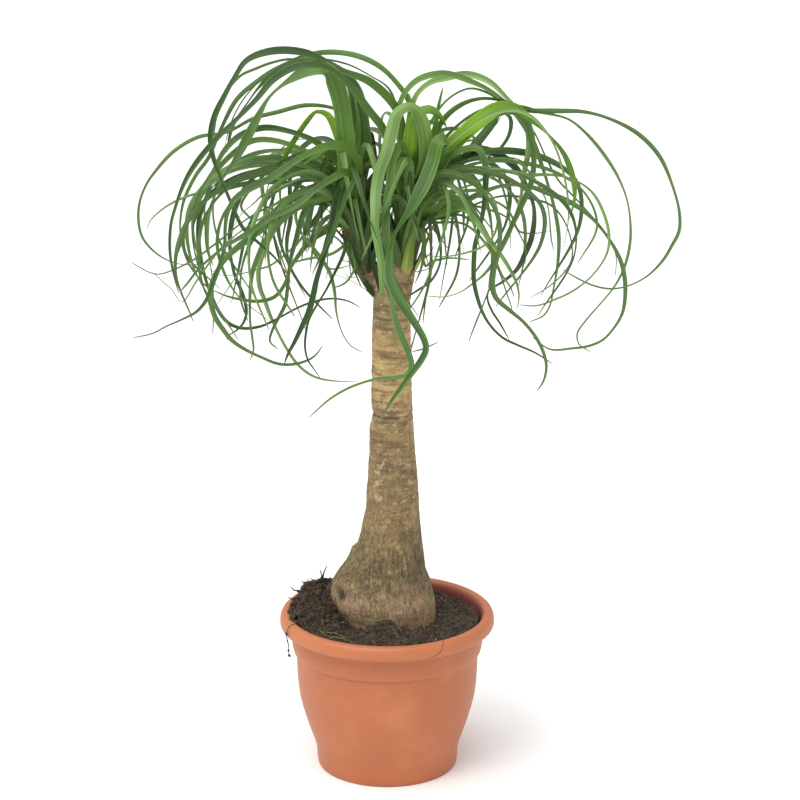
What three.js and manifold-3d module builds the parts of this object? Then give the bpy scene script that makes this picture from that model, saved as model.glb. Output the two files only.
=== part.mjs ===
// Potted ponytail palm: a swollen trunk that forks under two heads of long strap leaves,
// standing in soil in a flared plastic pot. Millimetres, +Z up.
// The origin is the middle of the flat underside of the pot.
import * as THREE from 'three';
import { mergeVertices } from 'three/addons/utils/BufferGeometryUtils.js';
import Module from 'manifold-3d';

const wasm = await Module();
wasm.setup();

// Driving sizes of the pot
const POT_HEIGHT = 181;
const LIP_RADIUS = 120;
const BASE_RADIUS = 78;
const WALL = 3.5;
const FLOOR = 4;
const POT_SIDES = 32;
const DRAIN_HOLES = 6;
const DRAIN_RADIUS = 5;
const DRAIN_CIRCLE = 48;

// Driving sizes of the soil; the heap leans on the left of the trunk and ends in a steep bank at the rim
const SOIL_LEVEL = 173;
const SOIL_RINGS = [103, 92, 81, 70, 60, 48];
const CRUMB_RISE = 1.6;
const BACK_FALL = { drop: 3, y: 80, spread: 60 };
const HEAP = { rise: 40, x: -66, y: 8, outerSpread: 72, innerSpread: 30, depthSpread: 34 };
const BANK = { rise: 9, slope: 3 };

// Driving sizes of the trunk; the burl swells its left side
const TRUNK_SIDES = 20;
const STUB_SIDES = 12;
const STUB_STEPS = 5;
const FLUTE_DEPTH = 0.02;
const BURL = { swell: 3.5, height: 224, bearing: 3.5 };

// Driving sizes of the heads and their leaves; shares are of a leaf's length
const CORE_SIDES = 8;
const CORE_STEPS = 4;
const BLADE_THICKNESS = 0.9;
const TIP_WIDTH = 1.1;
const SHEATH_WIDTH = 0.4;
const SHEATH_SHARE = 0.22;
const TAPER_SHARE = 0.62;
const STATIONS_PER_POINT = 0.83;
const ARCH_STATIONS = 7;
const BLADE_TURN = 38;
const SEEN_WIDTH = 0.86;
const EASY_BEND = 0.2;
const TIGHT_BEND = 0.5;

// How leaves leave their core, and the clear space they keep from other pieces
const ROOT_SINK = 0.4;
const EXIT_RISE = 14;
const EXIT_BEARINGS = [20, 85];
const CLEAR_SPACE = 0.8;
const PACKED_RADIUS = 48;

// Arching leaves at the back and sides of each head: bearings in degrees, the rest in mm
const ARCH_COUNT = 16;
const LEFT_BEARINGS = [60, 235];
const RIGHT_BEARINGS = [-55, 130];
const ARCH_ROOTS = [0.15, 0.95];
const ARCH_REACH = [110, 220];
const ARCH_RISE = [60, 105];
const ARCH_DROP = [60, 150];
const ARCH_WIDE = [8, 14];
const ARCH_SWAY = [-24, 24];

// Clear space kept between pieces that stand in one another
const FIT = 0.3;

// Leaf routes are seen from this point and read on the upright plane through the trunk
const VIEWPOINT = new THREE.Vector3(14.4, -2800, 1246);

// One closed solid from a closed mesh
function solidOf(geometry) {
  const bare = geometry.clone();
  bare.deleteAttribute('normal');
  bare.deleteAttribute('uv');
  const welded = mergeVertices(bare, 1e-4);
  const mesh = new wasm.Mesh({
    numProp: 3,
    vertProperties: Float32Array.from(welded.attributes.position.array),
    triVerts: Uint32Array.from(welded.index.array),
  });
  return new wasm.Manifold(mesh);
}

// Named, coloured mesh from a closed solid
function pieceOf(name, solid, finish) {
  const mesh = solid.getMesh();
  const geometry = new THREE.BufferGeometry();
  geometry.setAttribute('position', new THREE.BufferAttribute(Float32Array.from(mesh.vertProperties), 3));
  geometry.setIndex(new THREE.BufferAttribute(Uint32Array.from(mesh.triVerts), 1));
  geometry.computeVertexNormals();
  const piece = new THREE.Mesh(geometry, finish);
  piece.name = name;
  return piece;
}

// Closed skin over a stack of rings that all have the same number of points
function skinRings(rings) {
  const sides = rings[0].length;
  const positions = rings.flat().flatMap((point) => [point.x, point.y, point.z]);
  const triangles = [];
  for (let level = 0; level < rings.length - 1; level += 1) {
    for (let side = 0; side < sides; side += 1) {
      const next = (side + 1) % sides;
      const a = level * sides + side;
      const b = level * sides + next;
      const c = (level + 1) * sides + next;
      const d = (level + 1) * sides + side;
      triangles.push(a, b, c, a, c, d);
    }
  }
  const last = (rings.length - 1) * sides;
  for (let side = 1; side < sides - 1; side += 1) {
    triangles.push(0, side + 1, side);
    triangles.push(last, last + side, last + side + 1);
  }
  const geometry = new THREE.BufferGeometry();
  geometry.setAttribute('position', new THREE.Float32BufferAttribute(positions, 3));
  geometry.setIndex(triangles);
  return geometry;
}

// Soft rise and fall around a middle value
function bump(value, middle, spread) {
  return Math.exp(-(((value - middle) / spread) ** 2));
}

// Flared pot: foot, body, collar step and rolled lip, open at the top, with drain holes
function makePot(finish) {
  const profile = [
    [0, 0], [BASE_RADIUS, 0], [79.8, 7], [80.5, 22], [85.5, 38], [91.8, 57], [98.8, 84],
    [101.8, 134], [105, 136], [107, 146], [107, 163], [118.5, 165.5],
    [LIP_RADIUS, 170], [118, 178], [113, POT_HEIGHT], [109, 180.5], [105, 176],
    [107 - WALL, 160], [101.6 - WALL, 130], [98.8 - WALL, 86],
    [91.8 - WALL, 58], [85.5 - WALL, 39], [80.5 - WALL, 23], [79 - WALL, FLOOR], [0, FLOOR],
  ];
  const points = profile.map(([radius, height]) => new THREE.Vector2(radius, height));
  const turned = new THREE.LatheGeometry(points, POT_SIDES);
  turned.rotateX(Math.PI / 2);
  let solid = solidOf(turned);
  for (let index = 0; index < DRAIN_HOLES; index += 1) {
    const angle = (2 * Math.PI * index) / DRAIN_HOLES;
    const drill = new THREE.CylinderGeometry(DRAIN_RADIUS, DRAIN_RADIUS, 4 * FLOOR, 12);
    drill.rotateX(Math.PI / 2);
    drill.translate(DRAIN_CIRCLE * Math.cos(angle), DRAIN_CIRCLE * Math.sin(angle), FLOOR / 2);
    solid = solid.subtract(solidOf(drill));
  }
  return pieceOf('pot', solid, finish);
}

// Height of the soil surface over the pot floor plan
function soilHeight(x, y) {
  const across = bump(x, HEAP.x, x < HEAP.x ? HEAP.outerSpread : HEAP.innerSpread);
  const pile = HEAP.rise * across * bump(y, HEAP.y, HEAP.depthSpread);
  const bank = BANK.rise + BANK.slope * (SOIL_RINGS[0] - Math.hypot(x, y));
  const heap = Math.min(pile, bank);
  const crumbs = CRUMB_RISE * (Math.sin(0.21 * x + 0.6) * Math.sin(0.27 * y) + 0.7 * Math.sin(0.43 * (x - y)));
  const backFall = BACK_FALL.drop * bump(y, BACK_FALL.y, BACK_FALL.spread);
  return SOIL_LEVEL + heap + crumbs - backFall;
}

// Soil that fills the pot, with a plain hole for the foot of the trunk
function makeSoil(finish) {
  const wall = [
    [74.5, FLOOR + FIT], [77, 23], [82, 39], [88.3, 58], [95.3, 86], [98.1, 130], [103.5, 160],
  ];
  const rings = wall.map(([radius, height]) => soilRing(radius - FIT, () => height));
  for (const radius of SOIL_RINGS) {
    rings.push(soilRing(radius - FIT, soilHeight));
  }
  const filled = solidOf(skinRings(rings));
  const hole = solidOf(trunkBody(FIT));
  return pieceOf('soil', filled.subtract(hole), finish);
}

function soilRing(radius, heightAt) {
  const ring = [];
  for (let side = 0; side < POT_SIDES; side += 1) {
    const angle = (2 * Math.PI * side) / POT_SIDES;
    const x = radius * Math.cos(angle);
    const y = radius * Math.sin(angle);
    ring.push(new THREE.Vector3(x, y, heightAt(x, y)));
  }
  return ring;
}

// Height, sideways shift and radius of the trunk from its buried foot to the fork
const TRUNK_STATIONS = [
  [112, 0, 26], [128, 0, 38], [150, 0, 47], [168, 1, 53], [180, 0, 55], [190, -3, 57.5], [198, -5.8, 59.3],
  [210, -5.3, 55.8], [222, -3.8, 50], [232, -1.8, 45], [242, 0.2, 41], [252, 1.8, 38.2], [275, 4.4, 33.4],
  [304, 6.1, 29.7], [334, 6.2, 27.7], [368, 5.8, 25.5], [397, 5.3, 24], [404, 6, 22.9], [411, 6.4, 22.2],
  [419, 5.6, 22.6], [448, 5.4, 22], [480, 5.2, 21.2], [505, 5.2, 20.8], [528, 5.3, 20.5], [545, 5.4, 20.2],
  [556, 5.6, 17],
];

// Main trunk with uneven bark: slow flutes low down, a burl on the left and ring lines
function trunkBody(clearance) {
  const rings = TRUNK_STATIONS.map(([height, shift, radius]) => {
    const ring = [];
    for (let side = 0; side < TRUNK_SIDES; side += 1) {
      const angle = (2 * Math.PI * side) / TRUNK_SIDES;
      const flutes = FLUTE_DEPTH * radius * Math.sin(5 * angle + height / 40) * bump(height, 205, 60);
      const facing = bump(Math.cos(angle - BURL.bearing), 1, 0.25);
      const burl = BURL.swell * bump(height, BURL.height, 14) * facing;
      const reach = radius + flutes + burl + clearance;
      ring.push(new THREE.Vector3(shift + reach * Math.cos(angle), reach * Math.sin(angle), height));
    }
    return ring;
  });
  if (clearance > 0) {
    rings[0].forEach((point) => { point.z -= clearance; });
  }
  return skinRings(rings);
}

// Tapered round limb along a smooth route of [x, y, z, radius] points
function limb(route, sides, steps) {
  const curve = new THREE.CatmullRomCurve3(route.map(([x, y, z]) => new THREE.Vector3(x, y, z)));
  const across = new THREE.Vector3(0, 1, 0);
  const rings = [];
  for (let step = 0; step <= steps; step += 1) {
    const share = step / steps;
    const centre = curve.getPoint(share);
    const tangent = curve.getTangent(share);
    const radius = along(route.map((point) => point[3]), share);
    const side = new THREE.Vector3().crossVectors(across, tangent).normalize();
    const front = new THREE.Vector3().crossVectors(tangent, side).normalize();
    const ring = [];
    for (let corner = 0; corner < sides; corner += 1) {
      const angle = (2 * Math.PI * corner) / sides;
      const point = centre.clone();
      point.addScaledVector(side, radius * Math.cos(angle));
      point.addScaledVector(front, radius * Math.sin(angle));
      ring.push(point);
    }
    rings.push(ring);
  }
  return skinRings(rings);
}

// Two stubs at the fork; each carries a head of leaves
const LEFT_STUB = [[3, 0, 528, 14], [-8, 0, 550, 12.5], [-20, 0, 568, 11.5], [-30, 0, 588, 11]];
const RIGHT_STUB = [[8, 0, 525, 15], [13, 0, 552, 15], [17, 0, 580, 14.5], [20, 0, 604, 13]];

function makeTrunk() {
  let solid = solidOf(trunkBody(0));
  solid = solid.add(solidOf(limb(LEFT_STUB, STUB_SIDES, STUB_STEPS)));
  solid = solid.add(solidOf(limb(RIGHT_STUB, STUB_SIDES, STUB_STEPS)));
  return solid;
}

// Stub grown by the fit, used to open the socket in the head that sits on it
function socket(stub) {
  const wider = stub.map(([x, y, z, radius]) => [x, y, z, radius + FIT]);
  wider[3][2] += FIT;
  return solidOf(limb(wider, STUB_SIDES, STUB_STEPS));
}

// Head cores: short stems of packed leaf bases, and the spindle of young leaves on top
const LEFT_CORE = [[-29, 0, 577, 15], [-33, 0, 600, 16], [-36, 0, 622, 13], [-37, 0, 642, 9]];
const LEFT_SPINDLE = [[-36.4, 0, 635, 4], [-37, 0, 648, 5], [-38, 0, 664, 4]];
const RIGHT_CORE = [[19, 0, 592, 17], [22, 0, 612, 18], [26, 0, 634, 15], [29, 0, 652, 10]];
const RIGHT_SPINDLE = [[28.4, 0, 646, 4], [29, 0, 658, 5], [31, 0, 674, 4]];

// Lines inside the cores that the blades grow from
function rootLine(low, high, exit) {
  return { low: new THREE.Vector3(...low), high: new THREE.Vector3(...high), exit };
}
const LEFT_ROOTS = rootLine([-32, 0, 594], [-36, 0, 622], 10);
const RIGHT_ROOTS = rootLine([21, 0, 610], [26, 0, 632], 10);
const LEFT_HEART = rootLine([-37, 0, 642], [-38, 0, 660], 1);
const RIGHT_HEART = rootLine([29, 0, 652], [31, 0, 670], 1);

// Repeatable draws between 0 and 1, one row of them for each seed
const DRAW_STEP = 16807;
const DRAW_LIMIT = 2147483647;
function drawFrom(seed) {
  let state = seed;
  return () => {
    state = (state * DRAW_STEP) % DRAW_LIMIT;
    return state / DRAW_LIMIT;
  };
}

// Value drawn between the two ends of a range
function within(range, share) {
  return THREE.MathUtils.lerp(range[0], range[1], share);
}

// Point of a route moved to its depth along the sight line, so its outline stays as seen
function placed(across, height, depth) {
  const seen = new THREE.Vector3(across, 0, height);
  return seen.sub(VIEWPOINT).multiplyScalar(1 - depth / VIEWPOINT.y).add(VIEWPOINT);
}

// Value at a share of a list of evenly spread values
function along(values, share) {
  const place = share * (values.length - 1);
  const index = Math.min(Math.floor(place), values.length - 2);
  return THREE.MathUtils.lerp(values[index], values[index + 1], place - index);
}

// Blade width from the sheath to the thread-like tip
function bladeWidth(wide, share) {
  const sheath = SHEATH_WIDTH + (1 - SHEATH_WIDTH) * Math.min(1, share / SHEATH_SHARE);
  const taper = Math.min(1, (1 - share) / TAPER_SHARE);
  return TIP_WIDTH + (wide - TIP_WIDTH) * sheath * taper;
}

// Directions across a blade, turned away from the viewer by a slowly changing angle
function bladeFrames(points, wide, turns) {
  const frames = [];
  let before = null;
  const count = points.length;
  for (let index = 0; index < count; index += 1) {
    const back = points[Math.max(index - 1, 0)];
    const ahead = points[Math.min(index + 1, count - 1)];
    const tangent = ahead.clone().sub(back).normalize();
    const sight = points[index].clone().sub(VIEWPOINT).normalize();
    const across = new THREE.Vector3().crossVectors(tangent, sight).normalize();
    if (before && across.dot(before) < 0) {
      across.negate();
    }
    before = across.clone();
    const turn = THREE.MathUtils.degToRad(along(turns, index / (count - 1)));
    across.applyAxisAngle(tangent, turn);
    const bend = bendAt(points, index, tangent);
    easeBend(across, tangent, bend, bladeWidth(wide, index / (count - 1)));
    frames.push({ tangent, across });
  }
  return frames;
}

// Curvature vector at an inner point of a route
function bendAt(points, index, tangent) {
  if (index === 0 || index === points.length - 1) {
    return new THREE.Vector3();
  }
  const into = points[index].clone().sub(points[index - 1]);
  const out = points[index + 1].clone().sub(points[index]);
  const reach = (into.length() + out.length()) / 2;
  const bend = out.normalize().sub(into.normalize()).divideScalar(reach);
  return bend.addScaledVector(tangent, -bend.dot(tangent));
}

// A strap bends about its width, so a tight bend turns the width out of the bend
function easeBend(across, tangent, bend, width) {
  const sharpness = bend.length() * width;
  if (sharpness < EASY_BEND) {
    return;
  }
  const inward = bend.clone().normalize();
  const upright = new THREE.Vector3().crossVectors(tangent, inward).normalize();
  const most = Math.min(1, TIGHT_BEND / sharpness);
  const share = THREE.MathUtils.clamp(across.dot(inward), -most, most);
  const side = across.dot(upright) < 0 ? -1 : 1;
  across.copy(inward).multiplyScalar(share);
  across.addScaledVector(upright, side * Math.sqrt(1 - share * share));
}

// Flat strap with four corners at each station, split alike on both faces
function bladeSolid(points, wide, turns, thickness) {
  const frames = bladeFrames(points, wide, turns);
  const corners = [];
  points.forEach((point, index) => {
    const { tangent, across } = frames[index];
    const half = across.clone().multiplyScalar(bladeWidth(wide, index / (points.length - 1)) / 2);
    const face = new THREE.Vector3().crossVectors(tangent, across).normalize();
    face.multiplyScalar(thickness / 2);
    corners.push(
      point.clone().add(half).add(face),
      point.clone().sub(half).add(face),
      point.clone().sub(half).sub(face),
      point.clone().add(half).sub(face),
    );
  });
  const triangles = [0, 2, 1, 0, 3, 2];
  for (let first = 0; first < corners.length - 4; first += 4) {
    const length = [0, 1, 5, 0, 5, 4, 2, 3, 6, 3, 7, 6, 1, 6, 5, 1, 2, 6, 3, 4, 7, 3, 0, 4];
    triangles.push(...length.map((corner) => first + corner));
  }
  const last = corners.length - 4;
  triangles.push(last, last + 1, last + 2, last, last + 2, last + 3);
  const geometry = new THREE.BufferGeometry().setFromPoints(corners);
  geometry.setIndex(triangles);
  return solidOf(geometry);
}

// Route of a leaf from inside its core through the points read off the view
function tracedRoute(leaf, roots, fan, swing, lean) {
  const root = new THREE.Vector3().lerpVectors(roots.low, roots.high, leaf.root);
  const side = leaf.depth.at(-1) + swing + lean < 0 ? -1 : 1;
  const leftward = leaf.trace.at(-1)[0] < root.x ? -1 : 1;
  const bearing = THREE.MathUtils.degToRad(within(EXIT_BEARINGS, fan));
  const outward = new THREE.Vector3(leftward * Math.cos(bearing), side * Math.sin(bearing), 0);
  const exit = root.clone().addScaledVector(outward, roots.exit);
  exit.z += EXIT_RISE;
  root.addScaledVector(outward, ROOT_SINK * roots.exit);
  const points = [root, exit];
  leaf.trace.forEach(([across, height], index) => {
    const share = index / (leaf.trace.length - 1);
    const standOff = side * roots.exit + swing * Math.min(1, 0.35 + 3 * share) + lean * share;
    points.push(placed(across, height, along(leaf.depth, share) + standOff));
  });
  const curve = new THREE.CatmullRomCurve3(points, false, 'centripetal');
  return curve.getPoints(Math.round(STATIONS_PER_POINT * leaf.trace.length) + 1);
}

// Route of a leaf that arches out to a bearing and droops, read off no view. The shape
// lists shares of the reach outward and of the rise, or below the root of the drop.
const ARCH_SHAPE = [[0, 0], [0.1, 0.6], [0.34, 1], [0.66, 0.93], [0.9, 0.5], [1, -0.1], [0.95, -0.75]];

function archRoute(arch, roots) {
  const root = new THREE.Vector3().lerpVectors(roots.low, roots.high, arch.root);
  const points = ARCH_SHAPE.map(([out, up], index) => {
    const share = index / (ARCH_SHAPE.length - 1);
    const bearing = THREE.MathUtils.degToRad(arch.bearing + arch.sway * share * share);
    const outward = new THREE.Vector3(Math.cos(bearing), Math.sin(bearing), 0);
    const point = root.clone().addScaledVector(outward, out * arch.reach);
    point.z += up > 0 ? up * arch.rise : up * arch.drop;
    return point;
  });
  const curve = new THREE.CatmullRomCurve3(points, false, 'centripetal');
  return curve.getPoints(ARCH_STATIONS);
}

// Leaves of the left head. Each trace lists [across, height] points from the head outward,
// depth runs from the head to the tip (towards the viewer is negative), and root is the
// share of the core's height that the leaf grows from.
const LEFT_LEAVES = [
  // Upright straps that arch over at the top
  { wide: 19, root: 0.8, depth: [0, 10, 14, 4, -10], trace: [
    [-43, 700], [-45, 729], [-52, 768], [-63, 789], [-78, 790], [-98, 780], [-122, 761], [-138, 734],
    [-152, 708], [-160, 693], [-171, 677], [-178, 666], [-185, 649], [-191, 631], [-193, 612], [-192, 592],
    [-187, 576],
  ] },
  { wide: 19, root: 0.95, depth: [0, 16, 30, 34], trace: [
    [-26, 700], [-28, 739], [-36, 772], [-52, 790], [-76, 798], [-104, 793], [-128, 777], [-148, 752],
    [-164, 726], [-170, 700],
  ] },
  { wide: 6, root: 0.9, depth: [0, -14, -26, -34], trace: [
    [-46, 705], [-52, 760], [-72, 792], [-100, 800], [-122, 796], [-138, 790], [-155, 782], [-172, 760],
    [-180, 738], [-184, 712],
  ] },
  // Long loop that reaches farthest left
  { wide: 6, root: 0.85, depth: [0, -20, -24, -10, 6], trace: [
    [-22, 700], [-35, 736], [-57, 748], [-86, 751], [-115, 744], [-141, 737], [-170, 722], [-200, 717],
    [-226, 702], [-245, 682], [-258, 663], [-265, 643], [-266, 624], [-263, 609], [-255, 597], [-242, 586],
    [-226, 579], [-204, 578], [-184, 585],
  ] },
  // Mid-height arches to the left
  { wide: 9, root: 0.6, depth: [0, -26, -44, -40], trace: [
    [-50, 685], [-60, 699], [-76, 712], [-100, 722], [-130, 727], [-155, 719], [-172, 703], [-185, 680],
    [-198, 660], [-204, 645], [-211, 630], [-218, 611], [-224, 593], [-230, 580],
  ] },
  { wide: 7, root: 0.5, depth: [0, 24, 46, 60, 70], trace: [
    [-62, 688], [-89, 703], [-118, 713], [-142, 713], [-165, 698], [-184, 676], [-192, 653], [-199, 636],
    [-202, 619], [-202, 600], [-200, 584], [-196, 564], [-190, 545], [-182, 526], [-172, 513], [-158, 507],
    [-137, 509], [-118, 518], [-98, 529], [-78, 537], [-58, 540], [-41, 537], [-29, 530],
  ] },
  { wide: 13, root: 0.55, depth: [0, -36, -60, -64], trace: [
    [-30, 690], [-47, 707], [-68, 706], [-90, 695], [-106, 685], [-125, 672], [-148, 660], [-162, 650],
    [-170, 636], [-173, 619], [-174, 599], [-179, 579], [-186, 561], [-193, 542], [-205, 526], [-223, 516],
    [-239, 509], [-254, 501], [-276, 496],
  ] },
  { wide: 3, root: 0.7, depth: [0, -8, -10], trace: [
    [-52, 690], [-76, 712], [-97, 714], [-111, 705], [-121, 680], [-129, 655], [-132, 634], [-131, 614],
  ] },
  // Long diagonal straps down to the left
  { wide: 11, root: 0.35, depth: [0, -40, -70, -78], trace: [
    [-30, 668], [-44, 679], [-58, 672], [-75, 661], [-91, 647], [-109, 637], [-127, 629], [-142, 617],
    [-160, 606], [-176, 596], [-193, 582], [-205, 570], [-216, 556], [-224, 547],
  ] },
  { wide: 9, root: 0.3, depth: [0, 26, 40, 48], trace: [
    [-50, 643], [-72, 648], [-96, 641], [-118, 627], [-138, 614], [-155, 601], [-169, 589], [-180, 575],
    [-188, 560], [-191, 541], [-190, 533], [-186, 519], [-178, 506], [-168, 493], [-154, 483], [-136, 474],
    [-119, 467], [-104, 466], [-88, 470], [-78, 476], [-70, 487],
  ] },
  { wide: 8, root: 0.4, depth: [0, -24, -44, -50], trace: [
    [-52, 650], [-72, 649], [-92, 641], [-108, 630], [-121, 617], [-131, 603], [-138, 588], [-144, 572],
    [-147, 554], [-148, 534], [-148, 514], [-146, 496], [-145, 482], [-149, 471],
  ] },
  // Foreground strap that folds over and hangs towards the viewer
  { wide: 12, root: 0.45, depth: [0, -60, -96, -112, -118], trace: [
    [-30, 665], [-40, 670], [-49, 660], [-54, 640], [-58, 618], [-65, 599], [-70, 581], [-76, 561],
    [-80, 542], [-85, 524], [-92, 509], [-100, 492], [-108, 477], [-112, 466],
  ] },
  // Hanging leaves between the trunk and the left side
  { wide: 8, root: 0.25, depth: [0, -34, -60, -66], trace: [
    [-56, 647], [-77, 649], [-87, 638], [-92, 625], [-97, 606], [-102, 589], [-105, 572], [-107, 552],
    [-110, 533], [-117, 519], [-124, 505], [-127, 492], [-118, 483],
  ] },
  { wide: 7, root: 0.2, depth: [0, 22, 24, 10, -8], trace: [
    [-55, 652], [-80, 656], [-96, 642], [-95, 620], [-84, 603], [-72, 587], [-61, 568], [-56, 546],
    [-55, 529], [-52, 513], [-47, 499], [-39, 487], [-27, 480],
  ] },
  { wide: 8, root: 0.1, depth: [0, 12, 24, 30], trace: [
    [-50, 622], [-67, 614], [-82, 604], [-94, 589], [-104, 573], [-110, 556], [-121, 542], [-138, 537],
    [-158, 539], [-174, 543], [-187, 549],
  ] },
  { wide: 8, root: 0.65, depth: [0, 36, 64, 78], trace: [
    [-50, 668], [-85, 690], [-120, 688], [-148, 666], [-162, 640], [-168, 612], [-168, 590], [-164, 567],
    [-159, 554], [-154, 539], [-152, 524], [-156, 512], [-165, 503], [-176, 497],
  ] },
  { wide: 4, root: 0.5, depth: [0, 8, 12], trace: [
    [-62, 655], [-96, 656], [-122, 642], [-138, 622], [-149, 602], [-152, 586], [-158, 571], [-169, 555],
    [-183, 534],
  ] },
  { wide: 4, root: 0.3, depth: [0, 50, 66, 60], trace: [
    [-60, 630], [-84, 612], [-108, 590], [-125, 577], [-140, 572], [-160, 567], [-178, 566], [-193, 573],
  ] },
  { wide: 7, root: 0.15, depth: [0, 40, 60, 40], trace: [
    [-52, 642], [-86, 644], [-114, 624], [-130, 596], [-138, 572], [-137, 552], [-132, 538], [-127, 523],
    [-119, 504], [-109, 484], [-98, 467], [-86, 456], [-73, 450], [-52, 447], [-31, 447],
  ] },
  { wide: 8, root: 0.75, depth: [0, 24, 30, 26], trace: [
    [-52, 692], [-80, 701], [-99, 688], [-103, 668], [-103, 648], [-103, 628], [-107, 606], [-107, 590],
    [-104, 574], [-96, 558], [-87, 541],
  ] },
  { wide: 5, root: 0.55, depth: [0, 70, 90], trace: [
    [-62, 680], [-100, 674], [-124, 661], [-129, 646], [-131, 630], [-132, 612], [-137, 594], [-141, 578],
  ] },
  { wide: 5, root: 0.05, depth: [0, -28, -40, -36], trace: [
    [-42, 606], [-47, 588], [-56, 569], [-66, 549], [-77, 531], [-85, 515], [-88, 500], [-89, 486],
    [-86, 471], [-79, 460], [-73, 451],
  ] },
  { wide: 6, root: 0.1, depth: [0, -10, -14], trace: [
    [-42, 602], [-58, 590], [-74, 586], [-90, 583], [-108, 577],
  ] },
  { wide: 6, root: 0.02, depth: [0, -10, -16], trace: [
    [-38, 612], [-41, 598], [-38, 580], [-32, 564], [-27, 552],
  ] },
];

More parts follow.
